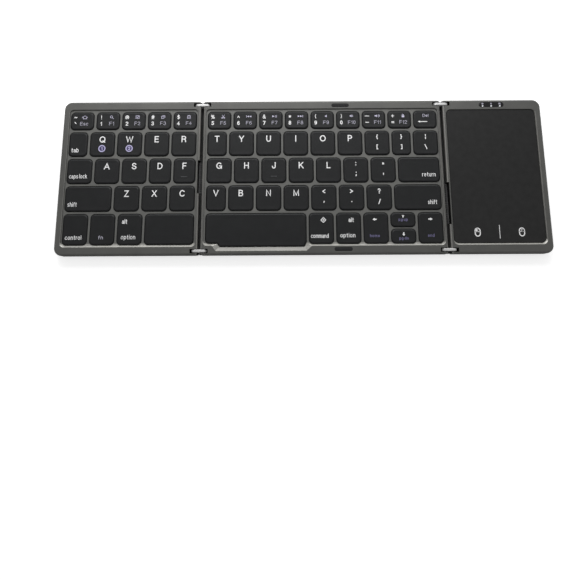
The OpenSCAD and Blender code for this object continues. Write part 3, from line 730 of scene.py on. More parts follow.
# Middle lines of plain upright letters. A capital stands from 0 to 1, small letters reach 0.7.
GLYPHS: dict[str, tuple[Stroke, ...]] = {
    "A": (((0, 0), (.43, 1), (.86, 0)), ((.16, .32), (.70, .32))),
    "B": (((0, 0), (0, 1), (.34, 1)) + arc(.34, .765, .25, .235, 80, -160) + ((0, .53),),
          ((.34, .53),) + arc(.36, .265, .29, .265, 80, -170) + ((0, 0),)),
    "C": (arc(.42, .5, .42, .5, 42, 276),),
    "D": (((0, 0), (0, 1), (.3, 1)) + arc(.3, .5, .43, .5, 75, -150) + ((.3, 0), (0, 0)),),
    "E": (((.6, 1), (0, 1), (0, 0), (.6, 0)), ((0, .52), (.54, .52))),
    "F": (((.56, 1), (0, 1), (0, 0)), ((0, .5), (.48, .5))),
    "G": (arc(.42, .5, .42, .5, 42, 290) + ((.84, .45), (.48, .45)), ((.84, .4), (.84, .02))),
    "H": (((0, 0), (0, 1)), ((.68, 0), (.68, 1)), ((0, .52), (.68, .52))),
    "I": (((0, 0), (0, 1)),),
    "J": (((.5, 1), (.5, .26)) + arc(.25, .26, .25, .26, -20, -150) + ((0, .32),),),
    "K": (((0, 0), (0, 1)), ((.64, 1), (.02, .36)), ((.22, .58), (.70, 0))),
    "L": (((0, 1), (0, 0), (.52, 0)),),
    "M": (((0, 0), (0, 1), (.41, .04), (.82, 1), (.82, 0)),),
    "N": (((0, 0), (0, 1), (.68, 0), (.68, 1)),),
    "O": (ring(.45, .5, .45, .5),),
    "P": (((0, 0), (0, 1), (.36, 1)) + arc(.36, .73, .27, .27, 80, -160)
          + ((.36, .46), (0, .46)),),
    "Q": (ring(.45, .5, .45, .5), ((.56, .24), (.88, -.02))),
    "R": (((0, 0), (0, 1), (.38, 1)) + arc(.38, .745, .27, .255, 80, -160)
          + ((.38, .49), (0, .49)), ((.40, .49), (.56, .42), (.62, .26), (.66, 0))),
    "S": (arc(.32, .755, .29, .245, 20, 245) + arc(.33, .255, .33, .255, 80, -250),),
    "T": (((0, 1), (.7, 1)), ((.35, 1), (.35, 0))),
    "U": (((0, 1), (0, .34)) + arc(.34, .34, .34, .34, 200, 140) + ((.68, .34), (.68, 1)),),
    "V": (((0, 1), (.39, 0), (.78, 1)),),
    "W": (((0, 1), (.28, 0), (.57, .94), (.86, 0), (1.14, 1)),),
    "X": (((.02, 1), (.74, 0)), ((.72, 1), (0, 0))),
    "Y": (((0, 1), (.38, .42), (.38, 0)), ((.76, 1), (.38, .42))),
    "Z": (((.03, 1), (.64, 1), (0, 0), (.66, 0)),),
    "a": (arc(.22, .49, .22, .21, 155, -140) + ((.44, .45), (.44, 0)), ring(.21, .2, .21, .2)),
    "b": (((0, 0), (0, 1)), ring(.25, .35, .25, .35)),
    "c": (arc(.26, .35, .26, .35, 45, 270),),
    "d": (((.5, 0), (.5, 1)), ring(.25, .35, .25, .35)),
    "e": (((0, .36), (.5, .36)) + arc(.25, .35, .25, .35, 15, 300),),
    "f": (((.12, 0), (.12, .8)) + arc(.3, .8, .18, .2, 160, -70), ((0, .67), (.3, .67))),
    "g": (ring(.24, .35, .24, .35), ((.48, .7), (.48, -.1)) + arc(.24, -.08, .24, .2, -15, -140)),
    "h": (((0, 0), (0, 1)), ((0, .42),) + arc(.23, .45, .23, .25, 160, -140)
          + ((.46, .45), (.46, 0))),
    "i": (((0, 0), (0, .7)), ((0, .96), (0, 1))),
    "k": (((0, 0), (0, 1)), ((.4, .7), (.02, .28)), ((.14, .42), (.44, 0))),
    "l": (((0, 0), (0, 1)),),
    "m": (((0, 0), (0, .7)), ((0, .46),) + arc(.2, .48, .2, .22, 160, -140) + ((.4, .45), (.4, 0)),
          ((.4, .46),) + arc(.6, .48, .2, .22, 160, -140) + ((.8, .45), (.8, 0))),
    "n": (((0, 0), (0, .7)), ((0, .42),) + arc(.23, .45, .23, .25, 160, -140)
          + ((.46, .45), (.46, 0))),
    "o": (ring(.26, .35, .26, .35),),
    "p": (((0, -.3), (0, .7)), ring(.25, .35, .25, .35)),
    "r": (((0, 0), (0, .7)), ((0, .4),) + arc(.24, .45, .24, .25, 160, -70)),
    "s": (arc(.21, .525, .19, .175, 25, 240) + arc(.21, .175, .21, .175, 80, -240),),
    "t": (((.13, .94), (.13, .14)) + arc(.27, .14, .14, .14, 200, 60), ((0, .67), (.3, .67))),
    "u": (((0, .7), (0, .25)) + arc(.23, .25, .23, .25, 200, 140) + ((.46, .3),),
          ((.46, .7), (.46, 0))),
    "0": (ring(.27, .5, .27, .5),),
    "1": (((0, .74), (.14, .82), (.24, 1), (.24, 0)),),
    "2": (arc(.28, .71, .27, .29, 170, -205) + ((0, 0), (.56, 0)),),
    "3": (arc(.27, .755, .24, .245, 160, -240), arc(.27, .26, .28, .26, 80, -240)),
    "4": (((.44, 0), (.44, 1), (0, .3), (.6, .3)),),
    "5": (((.5, 1), (.1, 1), (.04, .5)) + arc(.27, .32, .28, .32, 120, -280),),
    "6": (ring(.28, .31, .27, .31), arc(.31, .5, .31, .5, 55, 115) + ((.01, .31),)),
    "7": (((0, 1), (.56, 1), (.18, 0)),),
    "8": (ring(.28, .765, .23, .235), ring(.28, .265, .28, .265)),
    "9": (ring(.28, .69, .27, .31), arc(.25, .5, .31, .5, -125, 115) + ((.55, .69),)),
    "!": (((0, .34), (0, 1)), ((0, 0), (0, .04))),
    "@": (arc(.45, .42, .45, .5, -60, 300), ring(.42, .42, .17, .21), ((.62, .62), (.62, .3))),
    "#": (((.16, 0), (.26, 1)), ((.44, 0), (.54, 1)), ((.02, .68), (.68, .68)),
          ((0, .32), (.66, .32))),
    "$": (arc(.3, .72, .27, .2, 20, 245) + arc(.3, .28, .3, .24, 80, -250),
          ((.3, -.1), (.3, 1.08))),
    "%": (((.7, 1), (.2, 0)), ring(.17, .76, .16, .22), ring(.73, .24, .16, .22)),
    "^": (((0, .5), (.26, 1), (.52, .5)),),
    "&": (((.68, 0), (.2, .6), (.14, .8), (.22, .96), (.34, 1), (.46, .92), (.48, .76), (.36, .6),
           (.1, .42), (0, .24), (.08, .06), (.26, 0), (.44, .08), (.58, .26), (.62, .44)),),
    "*": (((.26, 1), (.26, .44)), ((.02, .86), (.5, .58)), ((.5, .86), (.02, .58))),
    "(": (arc(.5, .45, .5, .74, 135, 90),), ")": (arc(-.5, .45, .5, .74, 45, -90),),
    "_": (((0, 0), (1.1, 0)),), "-": (((0, .4), (.85, .4)),),
    "+": (((0, .4), (.68, .4)), ((.34, .06), (.34, .74))),
    "=": (((0, .56), (.6, .56)), ((0, .2), (.6, .2))),
    "{": (((.22, 1), (.13, .94), (.11, .62), (0, .5), (.11, .38), (.13, .06), (.22, 0)),),
    "}": (((0, 1), (.09, .94), (.11, .62), (.22, .5), (.11, .38), (.09, .06), (0, 0)),),
    "[": (((.18, 1), (0, 1), (0, 0), (.18, 0)),), "]": (((0, 1), (.18, 1), (.18, 0), (0, 0)),),
    "|": (((0, 1), (0, .66)), ((0, .34), (0, 0))),
    "\\": (((0, 1), (.42, 0)),), "/": (((0, 0), (.36, 1)),),
    ":": (((0, .06), (0, .1)), ((0, .66), (0, .7))),
    ";": (((0, .66), (0, .7)), ((0, .1), (0, 0), (-.08, -.16))),
    "\"": (((0, 1), (0, .72)), ((.24, 1), (.24, .72))), "'": (((0, 1), (0, .72)),),
    "<": (((.5, .8), (0, .45), (.5, .1)),), ">": (((0, .8), (.5, .45), (0, .1)),),
    ",": (((.06, .1), (.06, 0), (0, -.14)),), ".": (((0, 0), (0, .05)),),
    "?": (arc(.24, .74, .24, .26, 170, -215) + ((.24, .4), (.24, .3)), ((.24, 0), (.24, .04))),
    "~": (((0, .4), (.14, .52), (.3, .46), (.44, .38), (.58, .5)),), "`": (((0, 1), (.26, .7)),),
}


class InkPress:
    """Turns lettering and signs into flat outlines."""

    LETTER_GAP = 0.17
    WORD_GAP = 0.22
    LAYER = 0.003

    def outline(self, mark: Mark) -> list[tuple[list[Point], Faces, float]]:
        """The patches of a mark, in its panel's places with y towards the rear.

        Args:
            mark: What to print and where.

        Returns:
            Patches of points, faces and height above the mark's own height.
        """
        if isinstance(mark.what, Sign):
            half_w, half_h = (mark.width or mark.height) / 2, mark.height / 2
            shapes = [(filled, [(mark.x + px * half_w, -mark.y + py * half_h)
                                for px, py in shape]) for filled, shape in mark.what.value]
        else:
            shapes = [(False, stroke) for stroke in self._text(mark)]
        patches = []
        for number, (filled, points) in enumerate(shapes):
            if filled:
                faces = [list(range(len(points)))]
            else:
                closed = points[0] == points[-1]
                points, faces = ribbon(points[:-1] if closed else points, mark.stroke, closed)
            patches.append((points, faces, self.LAYER * number))
        return patches

    def _text(self, mark: Mark) -> list[list[Point]]:
        """Middle lines of a word, centred on its ink and set to its width.

        Args:
            mark: The word, its place and its size.

        Returns:
            The strokes, in their panel's places.
        """
        size = mark.height - mark.stroke
        gap = self.LETTER_GAP + mark.stroke / size
        strokes, at = [], 0.0
        for letter in mark.what:
            if letter == " ":
                at += self.WORD_GAP
                continue
            shape = GLYPHS[letter]
            strokes += [[(at + px, py) for px, py in stroke] for stroke in shape]
            at += max(px for stroke in shape for px, _ in stroke) + gap
        xs = [px for stroke in strokes for px, _ in stroke]
        ys = [py for stroke in strokes for _, py in stroke]
        mid_x, mid_y = (min(xs) + max(xs)) / 2, (min(ys) + max(ys)) / 2
        wide = size if not mark.width else (mark.width - mark.stroke) / (max(xs) - min(xs))
        return [[(mark.x + (px - mid_x) * wide, -mark.y + (py - mid_y) * size)
                 for px, py in stroke] for stroke in strokes]


# ---- panels ----


@dataclass(frozen=True)
class Spot:
    """Where a key or a plate lies in its panel."""

    x: float
    y: float
    width: float
    depth: float

    @property
    def middle(self) -> Point:
        """The middle of the key or plate."""
        return (self.x + self.width / 2, self.y + self.depth / 2)


@dataclass(frozen=True)
class Panel:
    """One of the three flat panels."""

    name: str
    body: str
    x: float
    width: float
    left_radius: float
    right_radius: float

    def outline(self, inset: float, steps: int = 10) -> list[Point]:
        """The panel's outline from above, moved in by inset.

        Args:
            inset: How far the outline moves in.
            steps: Number of straight pieces in each corner.

        Returns:
            The outline, across the whole keyboard.
        """
        left = self.left_radius - inset
        right = self.right_radius - inset
        return rounded(rect_corners(self.x + inset, REAR - inset, self.width - 2 * inset,
                                    PANEL_DEPTH - 2 * inset, (left, right, right, left)), steps)

    def place(self, x: float, y: float) -> Point:
        """A place in the panel, across the whole keyboard."""
        return (self.x + x, REAR - y)

    def edge(self, side: int) -> float:
        """Where the panel ends, at its left (1) or at its right (-1)."""
        return self.x if side > 0 else self.x + self.width

    def around(self, spot: Spot, inset: float, radius: float, steps: int = 10) -> list[Point]:
        """The outline of a key or plate.

        Args:
            spot: Where it lies in the panel.
            inset: How far the outline moves in; a negative inset moves it out.
            radius: Radius of its corners.
            steps: Number of straight pieces in each corner.

        Returns:
            The outline, across the whole keyboard.
        """
        x, y = self.place(spot.x + inset, spot.y + inset)
        return rounded(rect_corners(x, y, spot.width - 2 * inset, spot.depth - 2 * inset,
                                    (radius,) * 4), steps)


LEFT = Panel("left", "left_wing", -152.25, 87.4, 4.8, 1.1)
CENTRE = Panel("centre", "centre", -63.05, 150.9, 1.1, 1.1)
RIGHT = Panel("right", "right_wing", 89.65, 62.6, 1.1, 4.8)


KEY_RADIUS = 2.6
TRAY_REAR = 5.4


@dataclass(frozen=True)
class BayLine:
    """One outline of the centre panel's tray, with the space bar's bay at its front."""

    front_left: float
    front_right: float
    bay: float
    stops: tuple[float, float, float, float]

    SIDES = (1.5, 149.4)
    SHOULDER_RADIUS = 0.8
    BAY_RADIUS = 0.5

    def corners(self, grow: float = 0.0) -> list[Corner]:
        """The outline's corners, moved out by grow at the front and the rear.

        Args:
            grow: How far the front and the rear move out.

        Returns:
            The corners, counter-clockwise from the front left.
        """
        r, inner = KEY_RADIUS, self.BAY_RADIUS
        left, right, bay = (REAR - y - grow for y in (self.front_left, self.front_right, self.bay))
        start, end = (CENTRE.x + side for side in self.SIDES)
        a, b, c, d = (CENTRE.x + stop for stop in self.stops)
        back = REAR - TRAY_REAR + grow
        return [(start, left, r), (a, left, self.SHOULDER_RADIUS), (b, bay, inner),
                (c, bay, inner), (d, right, inner), (end, right, r), (end, back, r),
                (start, back, r)]


BAY_UNDER = BayLine(92.5, 92.5, 94.3, (8.9, 10.9, 63.9, 66.3))
BAY_FLOOR = BayLine(91.4, 91.8, 93.3, (9.8, 11.2, 63.8, 66.4))
BAY_MOUTH = BayLine(92.2, 92.6, 95.5, (7.3, 9.6, 65.0, 68.2))


@dataclass
class Shell:
    """A panel's top frame and bottom cover."""

    panel: Panel
    tray_floor: list[Corner]
    tray_under: list[Corner]
    tray_mouth: list[Corner]
    hinge_sides: tuple[int, ...]
    screws: tuple[Point, ...]
    sleeve: tuple[int, float, float] | None = None
    foot_inset: float = 13.0
    pocket_radius: float = 3.0
    pin_inset: float = 1.6
    bay_start: float = 93.05
    brim: float = 0.2
    wall: float = 1.3
    hollow_end: float = 4.4
    hollow_over: float = 1.8

    EDGE_STEPS = 7
    BRIGHT_EDGE = (0.85, 0.1)
    SIDE_TOP = 0.4
    SLOPES = (0.3, 0.97)
    FLOOR_STEP = 0.01
    FORWARD, SIDEWAYS = -0.2, 0.5
    POCKET_SPAN = (1.1, 3.7)
    SLEEVE_FLOOR = 2.1
    SLEEVE_PLAY, SLEEVE_DEPTH, SLEEVE_OUT = 0.5, 1.1, 1.0
    STOP_INSET = 1.55
    STOP_BACK = 0.8
    STOP_TIPS = {REAR_END: (0.5, 1.95), FRONT_END: (0.1, 2.38)}
    STOP_RINGS = ((0.95, 2.38), (1.4, 2.38))
    FOOT_POCKET = (3.55, 0.7)
    SCREW_POCKET = (1.4, 1.0)
    FOOT_PROFILE = ((0.1, 2.0), (0.0, 2.2), (0.0, 3.05), (0.08, 3.3), (0.28, 3.45), (0.7, 3.45))

    def _skin(self, levels: Sequence[tuple[float, float]]) -> Draft:
        """A solid block of the panel's outline through these (inset, height) levels."""
        return Draft().loft([at_height(self.panel.outline(inset), z) for inset, z in levels])

    def _dress_sides(self, skin: Draft) -> Draft:
        """Gives the sides of the frame painted shade and a painted highlight, by finish number.

        Args:
            skin: The frame's block, as lofted from its part line to its top.

        Returns:
            The same block: 1 is painted shade on its front and rear, 2 darker painted shade on its
                free end, 3 a painted highlight on its edge along a gap.
        """
        edges = [self.panel.edge(side) for side in self.hinge_sides]
        low, high = (TOP - drop for drop in self.BRIGHT_EDGE)
        for number, face in enumerate(skin.faces[:-2]):
            corners = [Vector(skin.vertices[i]) for i in face]
            middle = sum(corners, Vector()) / len(corners)
            along = corners[1] - corners[0]
            # Gap edges get a band of painted highlight; the other sides below the top get painted
            # shade.
            if min(abs(middle.x - edge) for edge in edges) < EDGE_RADIUS:
                skin.finish_of[number] = 3 if low < middle.z < high else 0
            elif middle.z < TOP - self.SIDE_TOP:
                skin.finish_of[number] = 2 if abs(along.y) > abs(along.x) else 1
        return skin

    def _curve(self, z: float, way: int) -> list[tuple[float, float]]:
        """Levels of a rounded edge from the side to the flat, up (1) or down (-1) from z.

        Args:
            z: Height where the curve starts.
            way: 1 for up, -1 for down.

        Returns:
            How far each level moves in, and its height.
        """
        angles = [math.radians(90 * k / self.EDGE_STEPS) for k in range(self.EDGE_STEPS + 1)]
        return [(EDGE_RADIUS * (1 - math.cos(a)), z + way * EDGE_RADIUS * math.sin(a))
                for a in angles]

    def _tray_tool(self) -> bpy.types.Object:
        """The tray with its upright walls, its sloped front wall and its softened brim.

        Returns:
            The tool, its faces numbered by finish; its sloped faces paint highlights on the bay's
            wall, the front brim and the side brims.
        """
        grown = self._grow(self.tray_mouth, self.brim)
        tool = Draft().loft([at_height(rounded(corners), z) for corners, z in (
            (self.tray_under, BELOW), (self.tray_under, WEB_TOP - self.FLOOR_STEP),
            (self.tray_floor, WEB_TOP), (self.tray_mouth, TOP - self.brim),
            (grown, TOP), (grown, ABOVE))]).piece(
                f"{self.panel.name}_tray_tool", [FRAME, BRIM_HIGHLIGHT, BAY_HIGHLIGHT, GAP_EDGE_HIGHLIGHT])
        # Sloped faces take painted highlights: the bay's wall, the front brim and the side brims.
        flat, steep = self.SLOPES
        for face in tool.data.polygons:
            if not flat < abs(face.normal.z) < steep:
                continue
            if face.center.y < (REAR - self.bay_start) * MM:
                face.material_index = 2
            elif face.normal.y < self.FORWARD:
                face.material_index = 1
            elif abs(face.normal.x) > self.SIDEWAYS:
                face.material_index = 3
        return tool

    @staticmethod
    def _grow(corners: list[Corner], by: float) -> list[Corner]:
        """Moves the corners of an outline away from its middle by a small step.

        Args:
            corners: Corners with their radii.
            by: Length of the step.

        Returns:
            The moved corners.
        """
        xs = [c[0] for c in corners]
        ys = [c[1] for c in corners]
        mid_x, mid_y = (min(xs) + max(xs)) / 2, (min(ys) + max(ys)) / 2
        return [(x + math.copysign(by, x - mid_x), y + math.copysign(by, y - mid_y), r)
                for x, y, r in corners]

    def _pocket_tools(self) -> list[bpy.types.Object]:
        """Pockets for the hinge links at the panel's gap sides, rear and front, lined with painted
        shade.

        Returns:
            The tools, two for each gap side.
        """
        tools = []
        r = self.pocket_radius
        for side in self.hinge_sides:
            pin = self.panel.edge(side) + side * self.pin_inset
            round_floor = [(pin + side * px, pz) for px, pz in
                           ellipse(0, PIN_HEIGHT, r, r, -90, 90, 14)]
            outside = pin - side * 2 * r
            profile = ([(outside, ABOVE + 1), (outside, PIN_HEIGHT - r)] + round_floor
                       + [(pin + side * r, ABOVE + 1)])
            for end, _ in ENDS:
                rings = [[(px, end * (REAR - y), pz) for px, pz in profile]
                         for y in self.POCKET_SPAN]
                tools.append(Draft().loft(rings).piece(f"{self.panel.name}_pocket_tool",
                                                       [POCKET_SHADE]))
        return tools

    def _sleeve_tools(self) -> list[bpy.types.Object]:
        """The notch that clears the cable sleeve, lined with painted shade.

        Returns:
            The tool, or nothing where no cable passes.
        """
        if self.sleeve is None:
            return []
        side, y, length = self.sleeve
        edge, play = self.panel.edge(side), self.SLEEVE_PLAY
        left, right = sorted((edge + side * self.SLEEVE_DEPTH, edge - side * self.SLEEVE_OUT))
        notch = block(left, REAR - y - length - play, right, REAR - y + play)
        rings = [at_height(notch, z) for z in (self.SLEEVE_FLOOR, ABOVE + 1)]
        return [Draft().loft(rings).piece(f"{self.panel.name}_sleeve_tool", [POCKET_SHADE])]

    def foot_places(self) -> list[Point]:
        """Middles of the four feet.

        Returns:
            The middles, across the whole keyboard.
        """
        inset, width = self.foot_inset, self.panel.width
        return [self.panel.place(x, y) for x in (inset, width - inset)
                for y in (inset, PANEL_DEPTH - inset)]

    def gap_shade_stops(self) -> bpy.types.Object:
        """Builds the dark stops that put painted shade in the gap's ends outside the hinge links.

        Returns:
            The stops of this panel as one piece, riding on the panel.
        """
        draft = Draft()
        for side in self.hinge_sides:
            edge = self.panel.edge(side)
            pin, back = edge + side * self.STOP_INSET, edge + side * self.STOP_BACK
            for end, _ in ENDS:
                rings = []
                for depth, radius in (self.STOP_TIPS[end], *self.STOP_RINGS):
                    reach = math.degrees(math.acos(self.STOP_INSET / radius))
                    cheek = [(pin - side * px, pz) for px, pz in
                             ellipse(0, PIN_HEIGHT, radius, radius, -reach, 2 * reach, 12)]
                    profile = [(back, cheek[0][1])] + cheek + [(back, cheek[-1][1])]
                    rings.append([(px, end * (REAR - depth), pz) for px, pz in profile])
                draft.loft(rings)
        stops = draft.piece(f"{self.panel.name}_gap_stops", [POCKET_SHADE], SOFT_CREASE)
        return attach(stops, self.panel.body)

    def top_frame(self, tools: Sequence[bpy.types.Object]) -> bpy.types.Object:
        """Builds the top frame.

        Args:
            tools: Further shapes to cut, such as a window's recess.

        Returns:
            The frame, riding on its panel.
        """
        levels = [(PART_SOFTNESS, PART_LINE), (0.0, PART_LINE + PART_SOFTNESS)]
        levels += self._curve(TOP - EDGE_RADIUS, 1)
        name = f"{self.panel.name}_frame_shell"
        # The frame's sides take painted shade, and its edges along a gap a painted highlight.
        frame = self._dress_sides(self._skin(levels)).piece(
            name, [FRAME, FRAME_SIDE_SHADE, FRAME_END_SHADE, GAP_EDGE_HIGHLIGHT])
        cuts = [self._tray_tool()] + self._pocket_tools() + self._sleeve_tools()
        carve(frame, cuts + list(tools))
        even_shading(frame)
        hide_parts(f"{self.panel.name}_top_frame")
        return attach(frame, self.panel.body)

    def bottom_cover(self, tools: Sequence[bpy.types.Object]) -> bpy.types.Object:
        """Builds the bottom cover.

        Args:
            tools: Further shapes to cut, such as the port's opening.

        Returns:
            The cover, riding on its panel.
        """
        levels = self._curve(COVER_BOTTOM + EDGE_RADIUS, -1)[::-1]
        levels += [(0.0, PART_LINE - PART_SOFTNESS), (PART_SOFTNESS, PART_LINE)]
        name = f"{self.panel.name}_cover_shell"
        cover = self._skin(levels).piece(name, [COVER])
        inside = rounded(rect_corners(
            self.panel.x + self.wall, REAR - self.hollow_end, self.panel.width - 2 * self.wall,
            PANEL_DEPTH - 2 * self.hollow_end, (1, 1, 1, 1)), 4)
        rings = [at_height(inside, z) for z in (self.wall, PART_LINE + self.hollow_over)]
        cuts = [Draft().loft(rings).piece(f"{name}_hollow_tool", [COVER])]
        radius, depth = self.FOOT_POCKET
        for x, y in self.foot_places():
            cuts.append(disc_tool(f"{name}_foot_tool", x, y, radius, depth, COVER))
        # The screw pockets are lined with painted shade.
        radius, depth = self.SCREW_POCKET
        for place in self.screws:
            x, y = self.panel.place(*place)
            cuts.append(disc_tool(f"{name}_screw_tool", x, y, radius, depth, POCKET_SHADE, 24))
        cuts += self._pocket_tools() + self._sleeve_tools() + list(tools)
        carve(cover, cuts)
        even_shading(cover)
        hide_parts(f"{self.panel.name}_bottom_cover")
        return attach(cover, self.panel.body)

    def feet(self) -> list[bpy.types.Object]:
        """Builds the four rubber feet.

        Returns:
            The feet, riding on the panel.
        """
        made = []
        for number, (x, y) in enumerate(self.foot_places()):
            rings = [at_height(ellipse(x, y, r, r, steps=40), z) for z, r in self.FOOT_PROFILE]
            foot = Draft().loft(rings).piece(f"{self.panel.name}_foot_{number + 1}", [RUBBER])
            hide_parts(f"{self.panel.name}_feet")
            made.append(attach(foot, self.panel.body))
        return made


# ---- keys ----


@dataclass(frozen=True)
class KeyCap:
    """One keycap with its printing."""

    name: str
    node: str
    panel: Panel
    spot: Spot
    marks: tuple[Mark, ...] = ()
    bar: float = 0.0
    nose: bool = False
    corner: float = KEY_RADIUS

    LEAST_CORNER = 0.25
    CORNER_STEPS = 7
    BAR_SIZE = (4.0, 0.6, 0.28)
    BAR_LEVELS = ((0.0, 7.7), (0.0, 7.9), (0.08, 7.97), (0.2, 8.0))
    NOSE_DEPTH = 2.0
    NOSE_START = (10.3, 11.7)
    NOSE_END = 63.3
    NOSE_SHOULDER = 2.6
    NOSE_SLIDE = 0.414
    NOSE_RADII = (0.5, 0.6, 0.8, 2.0)
    CAP_CREASE = 48.0
    SIDE = ((-0.3, 6.0), (-0.3, 6.22), (0.0, 6.23), (0.0, 6.95), (0.1, 7.2), (0.34, 7.5),
            (0.56, 7.7), (0.74, 7.8), (0.98, 7.85), (1.25, 7.845), (2.0, 7.81), (3.4, 7.78))

    def _outline(self, inset: float) -> list[Point]:
        """The key's outline, moved in by inset.

        Args:
            inset: How far the outline moves in.

        Returns:
            The outline, across the whole keyboard.
        """
        s = self.spot
        r = max(self.corner - inset, self.LEAST_CORNER)
        if not self.nose:
            return self.panel.around(s, inset, r, self.CORNER_STEPS)
        x, y = self.panel.place(s.x + inset, s.y + inset)
        width, depth = s.width - 2 * inset, s.depth - 2 * inset
        root, front = y - depth, y - depth - self.NOSE_DEPTH
        slide = self.NOSE_SLIDE * inset
        first, second = (self.panel.x + place + slide for place in self.NOSE_START)
        foot, near, far, shoulder = self.NOSE_RADII
        return rounded([(x, root, r), (first, root, foot), (second, front, near),
                        (self.panel.x + self.NOSE_END - inset, front, far),
                        (x + width, front + self.NOSE_SHOULDER, shoulder),
                        (x + width, y, r), (x, y, r)], self.CORNER_STEPS)

    def opening(self, play: float = 0.2) -> list[Point]:
        """The opening in the webs round the key."""
        return self._outline(-play)

    def height_at(self, x: float, y: float) -> float:
        """Height of the key's top at a place in its panel.

        Args:
            x: Place along X.
            y: Place from the rear.

        Returns:
            The height above the table.
        """
        s = self.spot
        inset = min(x - s.x, s.x + s.width - x, y - s.y, s.y + s.depth - y)
        levels = self.SIDE[3:]
        for (near, low), (far, high) in zip(levels, levels[1:]):
            if near <= inset <= far:
                return low + (high - low) * (inset - near) / (far - near)
        return levels[-1][1]

    def build(self, press: InkPress) -> list[bpy.types.Object]:
        """Builds the cap and its printing.

        Args:
            press: Shapes of the lettering.

        Returns:
            The cap, and its printing where it has any, riding on the key's body.
        """
        draft = Draft().loft([at_height(self._outline(inset), z) for inset, z in self.SIDE])
        if self.bar:
            self._add_bar(draft)
        # A raised bar takes the paler painted highlight.
        finishes = [KEYCAP, RIDGE_HIGHLIGHT] if self.bar else [KEYCAP]
        cap = even_shading(draft.piece(f"{self.name}_cap", finishes, self.CAP_CREASE))
        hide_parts(self.node)
        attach(cap, self.node)
        made = [cap]
        if self.marks:
            made.append(self._print(press))
        return made

    def _add_bar(self, draft: Draft) -> None:
        """Adds the raised bar that fingers find on two of the keys, in a paler painted highlight.
        """
        x, y = self.panel.place(self.spot.middle[0], self.bar)
        draft.loft(bar_rings(x, y, *self.BAR_SIZE, self.BAR_LEVELS), 1)

    def _print(self, press: InkPress) -> bpy.types.Object:
        """Prints the key's marks as one piece that lies on the cap.

        Args:
            press: Shapes of the lettering.

        Returns:
            The printing, riding on the key's body.
        """
        inks: list[Finish] = []
        draft = Draft()
        for mark in self.marks:
            if mark.ink not in inks:
                inks.append(mark.ink)
            for points, faces, layer in press.outline(mark):
                lift = mark.lift + layer
                solid = [(self.panel.x + px, REAR + py, self.height_at(px, -py) + lift)
                         for px, py in points]
                draft.add(solid, faces, inks.index(mark.ink))
        made = draft.piece(f"{self.name}_print", inks, FLAT_CREASE)
        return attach(made, self.node)


class RowPlan:
    """Works out where the keys of a panel lie."""

    DEPTHS = (11.6, 15.8, 15.9, 15.9, 19.1)
    FIRST = 7.0
    ROW_GAP = 1.6
    KEY_GAP = 1.7

    def __init__(self, rows: Sequence[Sequence[float]], start: float, end: float) -> None:
        """Places every key.

        Args:
            rows: Key widths in each row; a 0 takes an equal share of what is left.
            start: Left side of the keys in their panel.
            end: Right side of the keys in their panel.
        """
        self.spots: list[list[Spot]] = []
        y = self.FIRST
        for widths, depth in zip(rows, self.DEPTHS):
            left = end - start - sum(widths) - self.KEY_GAP * (len(widths) - 1)
            share = left / max(sum(1 for w in widths if w == 0), 1)
            x, row = start, []
            for width in widths:
                row.append(Spot(x, y, width or share, depth))
                x += row[-1].width + self.KEY_GAP
            self.spots.append(row)
            y += depth + self.ROW_GAP


class Legends:
    """Printing for each kind of key."""

    WIDE_SIGNS = (Sign.BACK, Sign.PLAY, Sign.FORWARD, Sign.LOUDER)
    SIGN_WIDTHS = (2.6, 3.3)
    WORD_STROKE = 0.31
    LETTER_DROP, LETTER_HEIGHT, LETTER_STROKE = 4.8, 4.1, 0.62
    PAIR_DROPS, PAIR_HEIGHT, PAIR_STROKE = (4.0, 10.6), 3.2, 0.52
    COLUMNS = (3.1, 9.7)
    THIN, BOLD, BOLDER = 0.26, 0.38, 0.46
    KEY_START, KEY_PITCH, KEY_ONE = 1.3, 1.15, 0.5

    @staticmethod
    def word(text: str, x: float, y: float, height: float, width: float,
             stroke: float = WORD_STROKE) -> Mark:
        """A white word about a place in its panel."""
        return Mark(text, x, y, height, width, WHITE_INK, stroke)

    @classmethod
    def letters(cls, spots: Sequence[Spot], texts: str) -> list[tuple[Mark, ...]]:
        """The main letters of a run of keys."""
        return [(Mark(text, spot.middle[0], spot.y + cls.LETTER_DROP, cls.LETTER_HEIGHT,
                      stroke=cls.LETTER_STROKE),) for spot, text in zip(spots, texts)]

    @classmethod
    def pairs(cls, spots: Sequence[Spot], texts: Sequence[str]) -> list[tuple[Mark, ...]]:
        """The upper and the lower sign of each key in a run.

        Args:
            spots: Places of the keys.
            texts: Two signs for each key, the upper one first.

        Returns:
            The marks of each key.
        """
        return [tuple(Mark(sign, spot.middle[0], spot.y + drop, cls.PAIR_HEIGHT,
                           stroke=cls.PAIR_STROKE)
                      for sign, drop in zip(text, cls.PAIR_DROPS))
                for spot, text in zip(spots, texts)]

    @classmethod
    def number(cls, spot: Spot, upper: str, lower: str, key: str, sign: Sign
               ) -> tuple[Mark, ...]:
        """A number key's four marks.

        Args:
            spot: Place of the key.
            upper: Its upper sign.
            lower: Its digit.
            key: Its second name.
            sign: Its small sign.

        Returns:
            The marks.
        """
        left, right = (spot.x + column for column in cls.COLUMNS)
        wide = cls.SIGN_WIDTHS[sign in cls.WIDE_SIGNS]
        length = cls.KEY_START + cls.KEY_PITCH * len(key) - cls.KEY_ONE * key.endswith("1")
        return (Mark(upper, left, spot.y + 3.4, 2.7, stroke=cls.BOLD),
                Mark(lower, left, spot.y + 7.6, 2.6, stroke=cls.BOLDER),
                Mark(sign, right, spot.y + 3.3, 2.3, wide, ICON_INK, cls.THIN),
                Mark(key, right, spot.y + 7.5, 2.3, length, DIM_INK, cls.THIN))


